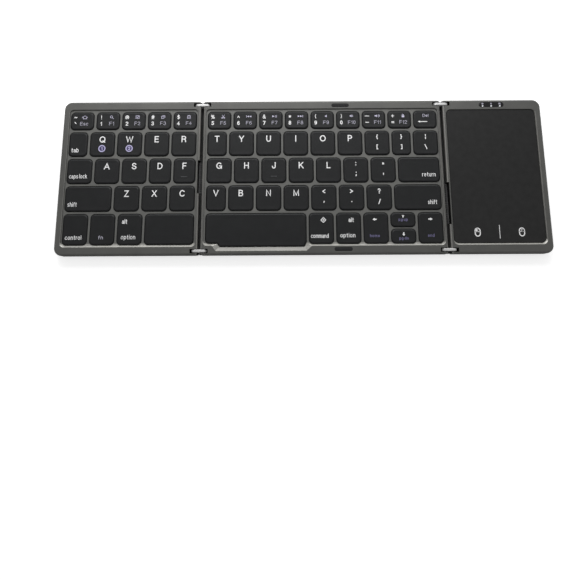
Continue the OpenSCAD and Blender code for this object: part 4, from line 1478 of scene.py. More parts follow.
@dataclass
class KeyField:
    """The keys of one panel and the plate of webs round them."""

    panel: Panel
    plan: RowPlan
    caps: list[KeyCap] = field(default_factory=list)

    THICKNESS = 0.8
    SOFTNESS = 0.09
    LIP_START = 90.8

    def row(self, row: int, first: int, node: str, names: Sequence[str],
            marks: Sequence[tuple[Mark, ...]], bars: dict[int, float] | None = None) -> None:
        """Adds a run of keys of one row.

        Args:
            row: Number of the row, from the rear.
            first: Number of the run's first key.
            node: CAD node of the run.
            names: Names of the keys.
            marks: Printing of the keys.
            bars: Places of raised bars, by number in the run.
        """
        for k, (name, printing) in enumerate(zip(names, marks)):
            spot = self.plan.spots[row][first + k]
            self.caps.append(KeyCap(f"key_{name}", node, self.panel, spot, printing,
                                    (bars or {}).get(k, 0.0)))

    def _paint_lip_highlight(self, mesh: bpy.types.Mesh) -> None:
        """Gives the plate its finishes: the strip along its front is paler, a painted highlight.

        Args:
            mesh: Mesh of the plate, which is cut in place.
        """
        start = (REAR - self.LIP_START) * MM
        mesh.materials.clear()
        for finish in (WEB, WEB_LIP_HIGHLIGHT):
            mesh.materials.append(finish.material())
        cut = bmesh.new()
        cut.from_mesh(mesh)
        bmesh.ops.bisect_plane(cut, geom=cut.verts[:] + cut.edges[:] + cut.faces[:],
                               dist=1e-7, plane_co=(0.0, start, 0.0), plane_no=(0.0, 1.0, 0.0))
        # Faces in front of the cut take the paler painted highlight.
        for face in cut.faces:
            face.material_index = int(face.calc_center_median().y < start)
        cut.to_mesh(mesh)
        cut.free()

    def web(self, outline: list[Corner]) -> bpy.types.Object:
        """Builds the plate of webs with a softened edge round each key.

        Args:
            outline: Corners of the plate.

        Returns:
            The plate, riding on its panel.
        """
        thick, bevel = self.THICKNESS, self.SOFTNESS
        curve = bpy.data.curves.new(f"{self.panel.name}_web", "CURVE")
        curve.dimensions = "2D"
        curve.fill_mode = "BOTH"
        curve.extrude = (thick / 2 - bevel) * MM
        curve.bevel_depth = bevel * MM
        curve.bevel_resolution = 1
        curve.offset = -bevel * MM
        caps = sorted(self.caps, key=lambda cap: cap.nose)
        for points in [rounded(outline)] + [cap.opening()[::-1] for cap in caps]:
            spline = curve.splines.new("POLY")
            spline.points.add(len(points) - 1)
            for point, (x, y) in zip(spline.points, points):
                point.co = (x * MM, y * MM, 0, 1)
            spline.use_cyclic_u = True
        drawn = in_scene(curve.name, curve)
        mesh = evaluated_mesh(drawn)
        bpy.data.objects.remove(drawn)
        bpy.data.curves.remove(curve)
        mesh.transform(Matrix.Translation((0, 0, (WEB_TOP - thick / 2) * MM)))
        self._paint_lip_highlight(mesh)
        plate = even_shading(finished_object(f"{self.panel.name}_web_plate", mesh, SOFT_CREASE))
        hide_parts(f"{self.panel.name}_key_web")
        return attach(plate, self.panel.body)


# ---- hinges ----


@dataclass(frozen=True)
class Hinge:
    """A double-pin hinge between two panels: links, curtain and cable sleeve."""

    name: str
    body: str
    pins: Point
    notch_side: int
    sleeve_y: float
    sleeve_length: float
    link_radius: float = 2.2
    link_thickness: float = 1.8
    link_y: float = 2.5
    link_softness: float = 0.42

    LINK_STEPS = 6
    CURTAIN_SIZE = (0.8, 2.6, 4.0)
    CURTAIN_END = 1.4
    CURTAIN_RIB = 1.4
    CURTAIN_SOFTNESS = 0.2
    CURTAIN_GROOVE = ((-0.2, 0.0), (0.0, 0.22), (0.2, 0.0))
    SLEEVE_REACH = (0.75, 1.85)
    SLEEVE_HEIGHTS = (2.45, 3.95)
    SLEEVE_RIB = 1.15
    SLEEVE_GROOVE = ((1.0, 0.22), (0.55, 0.0), (-0.55, 0.0), (-1.0, 0.22))
    SLEEVE_SINK = (0.4, 0.6)
    SLEEVE_RADIUS = 0.3
    CURTAIN_CREASE, SLEEVE_CREASE = 30.0, 40.0

    @property
    def middle(self) -> float:
        """The middle of the gap, along X."""
        return (self.pins[0] + self.pins[1]) / 2

    def links(self) -> list[bpy.types.Object]:
        """Builds the polished links at the rear and the front.

        Returns:
            The two links, riding on the hinge's body.
        """
        made = []
        low, high = min(self.pins), max(self.pins)
        soft, steps = self.link_softness, self.LINK_STEPS
        angles = [math.radians(90 * k / steps) for k in range(steps + 1)]
        for end, word in ENDS:
            rings = []
            for side, turns in ((-1, angles), (1, angles[::-1])):
                for a in turns:
                    inset = soft * (1 - math.sin(a))
                    reach = self.link_thickness / 2 - soft + soft * math.cos(a)
                    y = end * (REAR - self.link_y) + side * reach
                    r = self.link_radius - inset
                    outline = (ellipse(high, PIN_HEIGHT, r, r, -90, 180, 14)
                               + ellipse(low, PIN_HEIGHT, r, r, 90, 180, 14))
                    rings.append([(px, y, pz) for px, pz in outline])
            link = even_shading(Draft().loft(rings).piece(f"{self.name}_link_{word}", [SILVER],
                                                          SOFT_CREASE))
            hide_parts(f"{self.name}_hinge_links")
            made.append(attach(link, self.body))
        return made

    def curtain(self) -> bpy.types.Object:
        """Builds the ribbed black strip that closes the gap below the links. It stands for the
        part's spine, made wider and run nearly to the panel's ends, and so also puts painted shade
        in the gap.

        Returns:
            The strip, riding on the hinge's body.
        """
        half, low, high = self.CURTAIN_SIZE
        soft = self.CURTAIN_SOFTNESS
        left, right = self.middle - half, self.middle + half
        start, end = -REAR + self.CURTAIN_END, REAR - self.CURTAIN_END
        count = int((end - start) / self.CURTAIN_RIB)
        rings = []
        for k in range(count + 1):
            y = start + (end - start) * k / count
            for dy, sink in self.CURTAIN_GROOVE:
                top = high - sink
                rings.append([(px, y + dy, pz) for px, pz in (
                    (left, low), (right, low), (right, top - soft), (right - soft, top),
                    (left + soft, top), (left, top - soft))])
        strip = Draft().loft(rings).piece(f"{self.name}_hinge_curtain", [CURTAIN_AND_GAP_SHADE],
                                          self.CURTAIN_CREASE)
        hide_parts(f"{self.name}_hinge_spine")
        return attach(strip, self.body)

    def sleeve(self) -> bpy.types.Object:
        """Builds the ribbed rubber sleeve round the flat cable.

        Returns:
            The sleeve, riding on the hinge's body.
        """
        near, far = self.SLEEVE_REACH
        left, right = sorted((self.middle - self.notch_side * near,
                              self.middle + self.notch_side * far))
        count = int(self.sleeve_length / self.SLEEVE_RIB)
        half = self.sleeve_length / count / 2
        bottom, top = self.SLEEVE_HEIGHTS
        all_round, above = self.SLEEVE_SINK
        rings = []
        for k in range(count):
            y = REAR - self.sleeve_y - self.sleeve_length * (k + 0.5) / count
            for share, inset in self.SLEEVE_GROOVE:
                corners = block(left + inset * all_round, bottom + inset * all_round,
                                right - inset * all_round, top - inset * above)
                outline = rounded([(px, pz, self.SLEEVE_RADIUS) for px, pz in corners], 3)
                rings.append([(px, y + half * share, pz) for px, pz in outline])
        made = Draft().loft(rings).piece(f"{self.name}_sleeve_ribbed", [SLEEVE],
                                         self.SLEEVE_CREASE)
        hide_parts(f"{self.name}_cable_sleeve")
        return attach(made, self.body)


# ---- touchpad wing and trim ----


@dataclass(frozen=True)
class Touchpad:
    """The clicking pad with its printed guides."""

    panel: Panel = RIGHT
    spot: Spot = Spot(2.2, 6.7, 56.3, 84.9)
    radius: float = 3.0
    top: float = 7.55

    LEVELS = ((0.0, 6.75), (0.0, 7.33), (0.07, 7.44), (0.18, 7.52), (0.34, 7.55))
    DIVIDER = ((30.3, -80.8), (30.3, -88.8))
    BUTTON_Y = -85.0
    LEFT_BUTTON, RIGHT_BUTTON = (16.8, 1), (43.9, -1)
    OVAL, FILLING = (1.55, 1.7), (1.4, 1.55)
    SPREAD, SPLIT, OVAL_TOP = 0.75, 0.3, 2.3
    DIVIDER_STROKE, OVAL_STROKE, SPLIT_STROKE = 0.34, 0.62, 0.36

    def build(self) -> list[bpy.types.Object]:
        """Builds the pad and its printing.

        Returns:
            The pad and its printing, riding on the pad's body.
        """
        rings = [at_height(self.panel.around(self.spot, inset, self.radius - inset), z)
                 for inset, z in self.LEVELS]
        pad = even_shading(Draft().loft(rings).piece("touchpad_plate", [TOUCHPAD], SOFT_CREASE))
        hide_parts("touchpad_surface")
        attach(pad, "touchpad")
        return [pad, self._guides()]

    def _button(self, x: float, side: int) -> list[tuple[list[Point], Faces]]:
        """Patches of a small pointer with its left (1) or right (-1) button filled.

        Args:
            x: Middle along X.
            side: Which button is filled.

        Returns:
            Points and faces of each patch.
        """
        y, split = self.BUTTON_Y, self.BUTTON_Y + self.SPLIT
        oval = (ellipse(x, y + self.SPREAD, *self.OVAL, 0, 180, 14)
                + ellipse(x, y - self.SPREAD, *self.OVAL, 180, 180, 14))
        reach = self.FILLING[0]
        filled = ([(x, split)]
                  + ellipse(x, y + self.SPREAD, *self.FILLING, 0 if side < 0 else 90, 90, 8)
                  + [(x - side * reach, split)])
        return [ribbon(oval, self.OVAL_STROKE, True),
                ribbon([(x, y + self.OVAL_TOP), (x, split)], self.SPLIT_STROKE),
                ribbon([(x - reach, split), (x + reach, split)], self.SPLIT_STROKE),
                (filled, [list(range(len(filled)))])]

    def _guides(self) -> bpy.types.Object:
        """Prints the dividing line and the two button signs.

        Returns:
            The printing, riding on the pad's body.
        """
        draft = Draft()
        patches = [ribbon(self.DIVIDER, self.DIVIDER_STROKE)]
        for x, side in (self.LEFT_BUTTON, self.RIGHT_BUTTON):
            patches += self._button(x, side)
        for points, faces in patches:
            draft.add([(self.panel.x + px, REAR + py, self.top + INK_LIFT)
                       for px, py in points], faces)
        made = draft.piece("touchpad_guides", [WHITE_INK], FLAT_CREASE)
        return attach(made, "touchpad")


@dataclass(frozen=True)
class StatusWindow:
    """The dark glossy window with its three lamps."""

    panel: Panel = RIGHT
    spot: Spot = Spot(23.3, 1.6, 15.8, 3.3)
    lamp_pitch: float = 5.45
    lamp_y: float = 4.2
    sign_y: float = 2.6
    play: float = 0.06

    LEVELS = ((0.0, 7.1), (0.0, 7.82), (0.06, 7.9), (0.16, 7.94), (0.5, 7.95))
    LAMP_LEVELS = ((7.9, 0.42), (7.97, 0.42), (7.99, 0.32))
    LAMP_STRETCH, LAMP_SHIFT = 1.25, 0.05
    SIGN_SIZE, SIGN_STROKE, SIGN_LIFT = (1.1, 1.2), 0.22, 0.01
    END_STRAIGHT = 0.02
    FLOOR = 7.05

    def build(self, press: InkPress) -> list[bpy.types.Object]:
        """Builds the window, its lamps and its small signs.

        Args:
            press: Shapes of the lettering.

        Returns:
            The pieces, riding on the touchpad wing.
        """
        s = self.spot
        rings = [at_height(self.panel.around(s, inset, s.depth / 2 - inset
                                             - self.END_STRAIGHT), z)
                 for inset, z in self.LEVELS]
        window = even_shading(Draft().loft(rings).piece("status_window_lens", [WINDOW],
                                                        SOFT_CREASE))
        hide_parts("status_window")
        made = [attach(window, self.panel.body)]
        signs = Draft()
        for k, sign in enumerate((Sign.DIAMOND, Sign.LOCK, Sign.TICKED)):
            x = s.middle[0] + (k - 1) * self.lamp_pitch
            px, py = self.panel.place(x + self.LAMP_SHIFT * k, self.lamp_y)
            lamp = Draft().loft([
                at_height(ellipse(px, py, r * self.LAMP_STRETCH, r, steps=20), z)
                for z, r in self.LAMP_LEVELS])
            made.append(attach(lamp.piece(f"status_lamp_{k + 1}", [LAMP], SOFT_CREASE),
                                self.panel.body))
            for points, faces, layer in press.outline(
                    Mark(sign, x, self.sign_y, *self.SIGN_SIZE, DIM_INK, self.SIGN_STROKE)):
                z = self.LEVELS[-1][1] + self.SIGN_LIFT + layer
                signs.add([(self.panel.x + qx, REAR + qy, z) for qx, qy in points], faces)
        made.append(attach(signs.piece("status_signs", [DIM_INK], FLAT_CREASE),
                            self.panel.body))
        return made

    def recess(self) -> bpy.types.Object:
        """The tool that sinks the window into the frame; its walls take painted shade.

        Returns:
            The tool.
        """
        outline = self.panel.around(self.spot, -self.play, self.spot.depth / 2)
        rings = [at_height(outline, z) for z in (self.FLOOR, ABOVE)]
        return Draft().loft(rings).piece("window_tool", [POCKET_SHADE])


@dataclass(frozen=True)
class BumperPads:
    """The ribbed rubber pads on which the folded wings meet."""

    panel: Panel = CENTRE
    spot: Spot = Spot(81.7, 2.05, 11.0, 2.3)
    play: float = 0.05

    END_STRAIGHT = 0.03
    FLOOR = 7.28
    LEVELS = ((0.05, 7.3), (0.05, 7.88), (0.12, 7.94), (0.3, 7.97))
    RIBS = 5
    RIB_MARGIN = 1.7
    RIB_SIZE = (0.8, 1.5, 0.3)
    RIB_LEVELS = ((0, 7.9), (0, 8.05), (0.08, 8.1))

    def _outline(self, end: int, inset: float) -> list[Point]:
        """The pad's outline at the rear (1) or the front (-1), moved in by inset.

        Args:
            end: Which pad.
            inset: How far the outline moves in.

        Returns:
            The outline, across the whole keyboard.
        """
        s = self.spot
        y = s.y if end == REAR_END else PANEL_DEPTH - s.y - s.depth
        return self.panel.around(Spot(s.x, y, s.width, s.depth), inset,
                                 s.depth / 2 - inset - self.END_STRAIGHT, 8)

    def build(self) -> list[bpy.types.Object]:
        """Builds both pads.

        Returns:
            The pads, riding on the centre panel.
        """
        s, made = self.spot, []
        pitch = (s.width - 2 * self.RIB_MARGIN) / (self.RIBS - 1)
        for end, word in ENDS:
            draft = Draft().loft([at_height(self._outline(end, inset), z)
                                  for inset, z in self.LEVELS])
            for k in range(self.RIBS):
                x = self.panel.x + s.x + self.RIB_MARGIN + k * pitch
                draft.loft(bar_rings(x, end * (REAR - s.y - s.depth / 2), *self.RIB_SIZE,
                                     self.RIB_LEVELS))
            pad = draft.piece(f"bumper_pad_{word}", [RUBBER], SOFT_CREASE)
            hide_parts("bumper_pads")
            made.append(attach(pad, self.panel.body))
        return made

    def recesses(self) -> list[bpy.types.Object]:
        """The tools that sink the pads into the frame; their walls take painted shade.

        Returns:
            The tools, rear and front.
        """
        return [Draft().loft([at_height(self._outline(end, -self.play), z)
                              for z in (self.FLOOR, ABOVE)]).piece("bumper_tool", [POCKET_SHADE])
                for end, _ in ENDS]


@dataclass(frozen=True)
class PortOpening:
    """The opening for the charging port in the touchpad wing's free side."""

    panel: Panel = RIGHT
    y: float = 12.9
    width: float = 9.2
    low: float = 2.3
    high: float = 5.7
    radius: float = 1.69
    depth: float = 7.4

    def tool(self) -> bpy.types.Object:
        """The tool that cuts the opening into the frame or the cover.

        Returns:
            The tool.
        """
        side, y = self.panel.edge(-1), REAR - self.y
        corners = block(y - self.width, self.low, y, self.high)
        outline = rounded([(py, pz, self.radius) for py, pz in corners])
        rings = [[(x, py, pz) for py, pz in outline] for x in (side - self.depth, side + 2)]
        return Draft().loft(rings).piece("port_tool", [COVER])


# ---- the whole keyboard, the studio and the making ----


class Keyboard:
    """Builds every part of the keyboard in order."""

    LEFT_ROWS = ((0, 0, 0, 0, 0), (11.5, 0, 0, 0, 0), (15.4, 15.4, 15.4, 0, 0), (28.6, 0, 0, 0),
                 (15, 15, 15, 0))
    CENTRE_ROWS = ((0,) * 9, (12.1, 0, 0, 0, 0, 0, 0, 11.8, 15.5), (0,) * 7 + (25.8,),
                   (12.1, 0, 0, 0, 0, 0, 0, 28.9), (61.9, 0, 0, 0, 0, 0))
    LEFT_SPAN, CENTRE_SPAN = (4.6, 84.8), (2.8, 148.5)
    LEFT_SLEEVE, RIGHT_SLEEVE = (39.3, 20.2), (54.2, 25.3)
    BAR_Y = 49.5
    BADGE_Y = 30.9
    SPACE_DEPTH = 18.5
    ARROW_WEB = 1.15
    SCREW_Y = 2.75
    LEFT_SCREWS, RIGHT_SCREWS = (10, 77), (10, 54)
    CENTRE_SCREWS = ((10, 60, 140.9), (73, 140.9))
    LEFT_TRAY = (3.7, 82.2, 87.1)
    LEFT_WEB = (3.75, 4.95, 82.1, 88.0)
    CENTRE_WEB_GROWTH = 0.45
    PAD_TRAY, PAD_TRAY_RADIUS = (1.9, 6.4), 3.3
    PAD_TRAY_SIZES = ((56.9, 85.7), (56.9, 85.25), (57.15, 86.05))

    def __init__(self) -> None:
        """Plans the keys and their printing."""
        self.left = KeyField(LEFT, RowPlan(self.LEFT_ROWS, *self.LEFT_SPAN))
        self.centre = KeyField(CENTRE, RowPlan(self.CENTRE_ROWS, *self.CENTRE_SPAN))
        self._plan_left()
        self._plan_centre()
        self.press = InkPress()

    def _plan_left(self) -> None:
        """Names and prints the left wing's keys."""
        f, s, make = self.left, self.left.plan.spots, Legends
        first = s[0][0]
        grave = (Mark("~", first.x + 3.1, first.y + 3.4, 3.0, stroke=0.5),
                 Mark("`", first.x + 3.1, first.y + 7.0, 3.0, stroke=0.5),
                 Mark(Sign.HOUSE, first.x + 8.9, first.y + 3.3, 2.4, 3.6, ICON_INK, 0.28),
                 Mark("Esc", first.x + 8.6, first.y + 7.5, 2.3, 5.1, DIM_INK, 0.28))
        signs = (("!", "1", "F1", Sign.SEARCH), ("@", "2", "F2", Sign.TICKED),
                 ("#", "3", "F3", Sign.PAGES), ("$", "4", "F4", Sign.CLIPBOARD))
        f.row(0, 0, "left_number_keys", ("escape", *"1234"),
              [grave] + [make.number(spot, *marks) for spot, marks in zip(s[0][1:], signs)])
        f.row(1, 0, "tab_key", ("tab",), [(make.word("tab", 8.7, 31.9, 2.8, 4.6, 0.36),)])
        upper = make.letters(s[1][1:], "QWER")
        for k, number in enumerate("12"):
            upper[k] += self._badge(s[1][k + 1].middle[0], number)
        f.row(1, 1, "left_upper_keys", tuple("qwer"), upper)
        f.row(2, 0, "left_home_keys", ("caps", *"asdf"),
              [(make.word("caps lock", 11.8, 49.1, 2.8, 11.2),)]
              + make.letters(s[2][1:], "ASDF"), {4: self.BAR_Y})
        f.row(3, 0, "left_shift_key", ("left_shift",),
              [(make.word("shift", 9.4, 66.5, 2.8, 5.7),)])
        f.row(3, 1, "left_lower_keys", tuple("zxc"), make.letters(s[3][1:], "ZXC"))
        f.row(4, 0, "left_corner_keys", ("control", "fn", "left_option"),
              [(make.word("control", 11.5, 87.0, 2.7, 10.0, 0.34),),
               (Mark("fn", 28.2, 87.0, 2.2, 2.9, DIM_INK, 0.34),),
               (make.word("alt", 42.4, 77.3, 2.8, 3.2, 0.38),
                make.word("option", 45.0, 87.2, 2.8, 8.8))])
        f.row(4, 3, "left_space_key", ("left_space",), [()])

    def _badge(self, x: float, number: str) -> tuple[Mark, ...]:
        """A round badge with a digit.

        Args:
            x: Middle along X.
            number: The digit.

        Returns:
            The disc, the hoop round it and the digit.
        """
        y = self.BADGE_Y
        return (Mark(Sign.DISC, x, y, 4.3, 4.3, BADGE_INK),
                Mark(Sign.HOOP, x, y, 3.9, 3.9, LAVENDER_INK, 0.62, 0.02),
                Mark(number, x, y, 2.2, 0.0, LAVENDER_INK, 0.46, 0.03))

    def _plan_centre(self) -> None:
        """Names and prints the centre panel's keys."""
        f, s, make = self.centre, self.centre.plan.spots, Legends
        signs = (("%", "5", "F5", Sign.SCISSORS), ("^", "6", "F6", Sign.BACK),
                 ("&", "7", "F7", Sign.PLAY), ("*", "8", "F8", Sign.FORWARD),
                 ("(", "9", "F9", Sign.QUIET), (")", "0", "F10", Sign.SOFTER),
                 ("_", "-", "F11", Sign.LOUDER), ("+", "=", "F12", Sign.LOCK))
        last = s[0][8]
        erase = (Mark("Del", last.x + 7.7, last.y + 3.2, 2.0, 3.7, DIM_INK, 0.28),
                 Mark(Sign.LONG_ARROW, last.x + 5.6, last.y + 7.3, 1.6, 6.2))
        f.row(0, 0, "centre_number_keys", (*"567890", "minus", "equals", "delete"),
              [make.number(spot, *marks) for spot, marks in zip(s[0], signs)] + [erase])
        f.row(1, 0, "centre_upper_keys",
              (*"tyuiop", "open_bracket", "close_bracket", "backslash"),
              make.letters(s[1], "TYUIOP")
              + make.pairs(s[1][6:], ("{[", "}]", "|\\")))
        f.row(2, 0, "centre_home_keys", (*"ghjkl", "semicolon", "quote"),
              make.letters(s[2], "GHJKL") + make.pairs(s[2][5:], (":;", "\"'")),
              {2: self.BAR_Y})
        f.row(2, 7, "return_key", ("return",),
              [(make.word("return", 141.6, 48.7, 2.8, 8.4),)])
        f.row(3, 0, "centre_lower_keys", (*"vbnm", "comma", "period", "slash"),
              make.letters(s[3], "VBNM") + make.pairs(s[3][4:], ("<,", ">.", "?/")))
        f.row(3, 7, "right_shift_key", ("right_shift",),
              [(make.word("shift", 142.9, 66.1, 2.8, 5.7),)])
        bar = s[4][0]
        f.caps.append(KeyCap("key_space_bar", "space_bar", CENTRE,
                             Spot(bar.x, bar.y, bar.width, self.SPACE_DEPTH), nose=True))
        f.row(4, 1, "centre_corner_keys", ("command", "right_option", "left_arrow"),
              [(Mark(Sign.DIAMOND, 75.2, 77.0, 3.0, 3.0, stroke=0.45),
                make.word("command", 72.9, 86.7, 2.7, 10.8)),
               (make.word("alt", 92.3, 77.0, 2.8, 3.2, 0.38),
                make.word("option", 90.0, 86.8, 2.7, 9.2, 0.34)),
               (Mark(Sign.ARROW_LEFT, 106.7, 76.8, 1.8, 2.7),
                Mark("home", 106.5, 86.8, 1.9, 6.0, SLATE_INK, 0.3))])
        f.row(4, 5, "centre_corner_keys", ("right_arrow",),
              [(Mark(Sign.ARROW_RIGHT, 140.9, 76.8, 1.8, 2.7),
                Mark("end", 140.9, 86.8, 1.9, 4.1, SLATE_INK, 0.3))])
        x = s[4][4].middle[0]
        for spot, name, sign, sign_y, word, word_y in zip(
                self._arrow_spots(), ("up", "down"), (Sign.ARROW_UP, Sign.ARROW_DOWN),
                (74.6, 85.9), ("pg up", "pg dn"), (77.4, 88.7)):
            f.caps.append(KeyCap(f"key_{name}", f"{name}_key", CENTRE, spot,
                                 (Mark(sign, x, sign_y, 2.4, 1.8),
                                  Mark(word, x, word_y, 1.8, 5.7, SLATE_INK, 0.3))))

    def _arrow_spots(self) -> tuple[Spot, Spot]:
        """The places of the up and down keys, with a bar of the webs between them.

        Returns:
            The places, the up key's first.
        """
        column, bar = self.centre.plan.spots[4][4], self.ARROW_WEB
        depth = (column.depth - bar) / 2
        return (Spot(column.x, column.y, column.width, depth),
                Spot(column.x, column.y + depth + bar, column.width, depth))

    def build(self) -> None:
        """Builds the whole keyboard."""
        self._shells()
        for keys in (self.left, self.centre):
            for cap in keys.caps:
                cap.build(self.press)
        self._webs()
        for hinge in (Hinge("left", "left_link", (-61.45, -66.45), -1, *self.LEFT_SLEEVE),
                      Hinge("right", "right_link", (86.25, 91.25), 1, *self.RIGHT_SLEEVE)):
            hinge.links() + [hinge.curtain(), hinge.sleeve()]
        Touchpad().build()
        StatusWindow().build(self.press)
        BumperPads().build()

    def _shells(self) -> None:
        """Builds the frames, covers and feet of the three panels."""
        ends = (self.SCREW_Y, PANEL_DEPTH - self.SCREW_Y)
        left = Shell(LEFT, self._tray(0, -0.6), self._tray(0.5, 0), self._tray(0, 0.3), (-1,),
                     tuple((x, y) for x in self.LEFT_SCREWS for y in ends),
                     (-1, *self.LEFT_SLEEVE))
        centre = Shell(CENTRE, BAY_FLOOR.corners(), BAY_UNDER.corners(0.5), BAY_MOUTH.corners(),
                       (1, -1), tuple((x, y) for xs, y in zip(self.CENTRE_SCREWS, ends)
                                      for x in xs))
        corner, radii = RIGHT.place(*self.PAD_TRAY), (self.PAD_TRAY_RADIUS,) * 4
        under, floor, mouth = [rect_corners(*corner, width, depth, radii)
                               for width, depth in self.PAD_TRAY_SIZES]
        right = Shell(RIGHT, floor, under, mouth, (1,),
                      tuple((x, y) for x in self.RIGHT_SCREWS for y in ends),
                      (1, *self.RIGHT_SLEEVE))
        port = PortOpening()
        for shell in (left, centre, right):
            [shell.gap_shade_stops()] + shell.feet()
        left.top_frame([])
        left.bottom_cover([])
        centre.top_frame(BumperPads().recesses())
        centre.bottom_cover([])
        right.top_frame([StatusWindow().recess(), port.tool()])
        right.bottom_cover([port.tool()])

    @classmethod
    def _tray(cls, grow: float, slope: float) -> list[Corner]:
        """Corners of the left wing's tray.

        Args:
            grow: How far it is widened at the front and the rear.
            slope: How far it is widened at the front alone.

        Returns:
            The corners with their radii.
        """
        left, width, depth = cls.LEFT_TRAY
        x, y = LEFT.place(left, TRAY_REAR - grow)
        return rect_corners(x, y, width, depth + 2 * grow + slope, (KEY_RADIUS,) * 4)

    def _webs(self) -> None:
        """Builds the plates of webs round the keys."""
        x, y, width, depth = self.LEFT_WEB
        outline = rect_corners(*LEFT.place(x, y), width, depth, (KEY_RADIUS,) * 4)
        self.left.web(outline)
        self.centre.web(BAY_UNDER.corners(self.CENTRE_WEB_GROWTH))


def dress_carried(nodes: dict[str, bpy.types.Object]) -> None:
    """Gives the CAD nodes that keep their own shape their finishes.

    Args:
        nodes: The CAD nodes by name.
    """
    for name, finish in CARRIED.items():
        shape = nodes[name].data
        shape.materials.clear()
        shape.materials.append(finish.material())
        LOG.info("%s keeps its CAD shape in %s", name, finish.name)


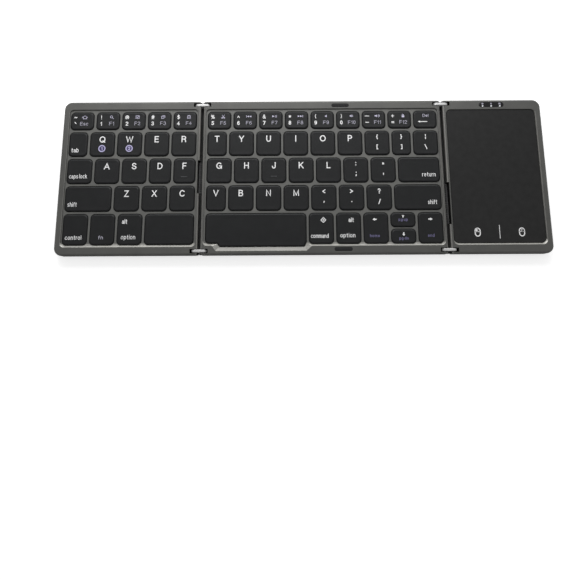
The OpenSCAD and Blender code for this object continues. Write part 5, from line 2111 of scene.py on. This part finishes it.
@dataclass(frozen=True)
class Studio:
    """Camera, floor, lamp and surroundings.

    The eye and the sensor are in millimetres, the floor and the lamp in metres, the angles in
    radians, and the names that end in px in pixels.
    """

    eye: Place = (-8.34, -79.63, 377.24)
    yaw: float = 0.00228
    pitch: float = 1.34936
    roll: float = -0.00336
    focal_px: float = 605.45
    rise_px: float = -120.0
    frame_px: float = 580.0
    sensor: float = 36.0
    floor_half: float = 6.0
    lamp_place: Place = (-0.02, 0.24, 0.20)
    lamp_size: Point = (0.42, 0.22)
    lamp_power: float = 1.0

    WHITE = (1.0, 1.0, 1.0, 1.0)
    FLOOR_COLOUR = (0.9, 0.9, 0.9, 1.0)
    FLOOR_LIFT = 0.6
    FRONT_TO_REAR = ((-0.6, 0.9), (0.3, 1.0))
    RISE_TO_ZENITH = ((0.3, 0.95), (0.0, 1.0))
    ZENITH_LEVEL = 0.42
    LIGHT_LEVEL = 0.4

    def camera(self) -> bpy.types.Object:
        """Makes the camera.

        Returns:
            The camera, set as the scene's own.
        """
        data = bpy.data.cameras.new("studio_camera")
        data.sensor_width = self.sensor
        data.lens = self.focal_px / self.frame_px * data.sensor_width
        data.shift_y = self.rise_px / self.frame_px
        data.clip_start, data.clip_end = 0.01, 20.0
        camera = in_scene("studio_camera", data)
        ahead = Vector((math.sin(self.yaw) * math.cos(self.pitch),
                        math.cos(self.yaw) * math.cos(self.pitch), -math.sin(self.pitch)))
        right = Vector((math.cos(self.yaw), -math.sin(self.yaw), 0.0))
        up = right.cross(ahead)
        cos, sin = math.cos(self.roll), math.sin(self.roll)
        side, over = right * cos + up * sin, up * cos - right * sin
        turn = Matrix((side, over, -ahead)).transposed().to_4x4()
        camera.matrix_world = Matrix.Translation(Vector(self.eye) * MM) @ turn
        bpy.context.scene.camera = camera
        return camera

    @staticmethod
    def _shown_ray(nodes: bpy.types.Nodes, links: bpy.types.NodeLinks) -> bpy.types.NodeSocket:
        """A value of 1 where the surroundings are looked at, straight or in gloss or glass.

        Args:
            nodes: Nodes of the material or the surroundings.
            links: Links between them.

        Returns:
            The value.
        """
        path = add_node(nodes, "LightPath")
        total = path.outputs["Is Camera Ray"]
        for name in ("Is Glossy Ray", "Is Transmission Ray"):
            join = add_node(nodes, "Math")
            join.operation = "MAXIMUM"
            links.new(total, join.inputs[0])
            links.new(path.outputs[name], join.inputs[1])
            total = join.outputs[0]
        return total

    def floor(self) -> bpy.types.Object:
        """Makes the plain pale floor, which keeps the shadow.

        Returns:
            The floor, staged.
        """
        half = self.floor_half
        mesh = bpy.data.meshes.new("studio_floor")
        mesh.from_pydata(at_height(block(-half, -half, half, half), 0), [], [(0, 1, 2, 3)])
        floor = in_scene("studio_floor", mesh)
        made = bpy.data.materials.new("pale_floor")
        made.use_nodes = True
        nodes, links = made.node_tree.nodes, made.node_tree.links
        shader = nodes["Principled BSDF"]
        shader.inputs["Base Color"].default_value = self.FLOOR_COLOUR
        shader.inputs["Roughness"].default_value = 0.9
        shader.inputs["Specular IOR Level"].default_value = 0.0
        shader.inputs["Emission Color"].default_value = self.WHITE
        lift = add_node(nodes, "Math")
        lift.operation = "MULTIPLY"
        lift.inputs[1].default_value = self.FLOOR_LIFT
        links.new(self._shown_ray(nodes, links), lift.inputs[0])
        links.new(lift.outputs[0], shader.inputs["Emission Strength"])
        mesh.materials.append(made)
        return floor

    def surroundings(self) -> None:
        """Makes the white surroundings: even light, and white where they are looked at."""
        world = bpy.data.worlds.new("studio_world")
        world.use_nodes = True
        bpy.context.scene.world = world
        nodes, links = world.node_tree.nodes, world.node_tree.links
        back = nodes["Background"]
        place = add_node(nodes, "TexCoord")
        split = add_node(nodes, "SeparateXYZ")
        links.new(place.outputs["Generated"], split.inputs[0])
        sides = self._ramp(nodes, links, split.outputs["Y"], self.FRONT_TO_REAR)
        zenith = self._ramp(nodes, links, split.outputs["Z"], self.RISE_TO_ZENITH)
        sky = add_node(nodes, "Mix", {"B": self.ZENITH_LEVEL})
        links.new(zenith, sky.inputs["Factor"])
        links.new(sides, sky.inputs["A"])
        level = add_node(nodes, "Mix", {"A": self.LIGHT_LEVEL})
        links.new(self._shown_ray(nodes, links), level.inputs["Factor"])
        links.new(sky.outputs["Result"], level.inputs["B"])
        links.new(level.outputs["Result"], back.inputs["Strength"])
        back.inputs["Color"].default_value = self.WHITE

    @staticmethod
    def _ramp(nodes: bpy.types.Nodes, links: bpy.types.NodeLinks, value: bpy.types.NodeSocket,
              ends: tuple[Point, Point]) -> bpy.types.NodeSocket:
        """A soft step of a value from one range to another.

        Args:
            nodes: Nodes of the surroundings.
            links: Links between them.
            value: The value that is stepped.
            ends: The range that it comes from and the one that it goes to.

        Returns:
            The stepped value.
        """
        (low, high), (start, to) = ends
        ramp = add_node(nodes, "MapRange", {"From Min": low, "From Max": high, "To Min": start,
                                            "To Max": to})
        ramp.interpolation_type = "SMOOTHSTEP"
        links.new(value, ramp.inputs["Value"])
        return ramp.outputs["Result"]

    def lamp(self) -> bpy.types.Object:
        """Makes the soft lamp behind the keyboard, which looks at its middle.

        Returns:
            The lamp.
        """
        data = bpy.data.lights.new("rear_softbox", "AREA")
        data.shape = "RECTANGLE"
        data.size, data.size_y = self.lamp_size
        data.energy = self.lamp_power
        lamp = in_scene("rear_softbox", data)
        lamp.location = self.lamp_place
        lamp.rotation_mode = "QUATERNION"
        lamp.rotation_quaternion = (-Vector(self.lamp_place)).to_track_quat("-Z", "Y")
        return lamp

    def build(self) -> None:
        """Makes the whole studio."""
        self.camera()
        self.floor()
        self.surroundings()
        self.lamp()
        bpy.context.scene.view_settings.view_transform = "Standard"


def main() -> None:
    """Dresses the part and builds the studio."""
    logging.basicConfig(level=logging.INFO, format="%(message)s")
    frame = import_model()
    Studio().build()
    dress_carried(frame["nodes"])
    Keyboard().build()


if __name__ == "__main__":
    main()
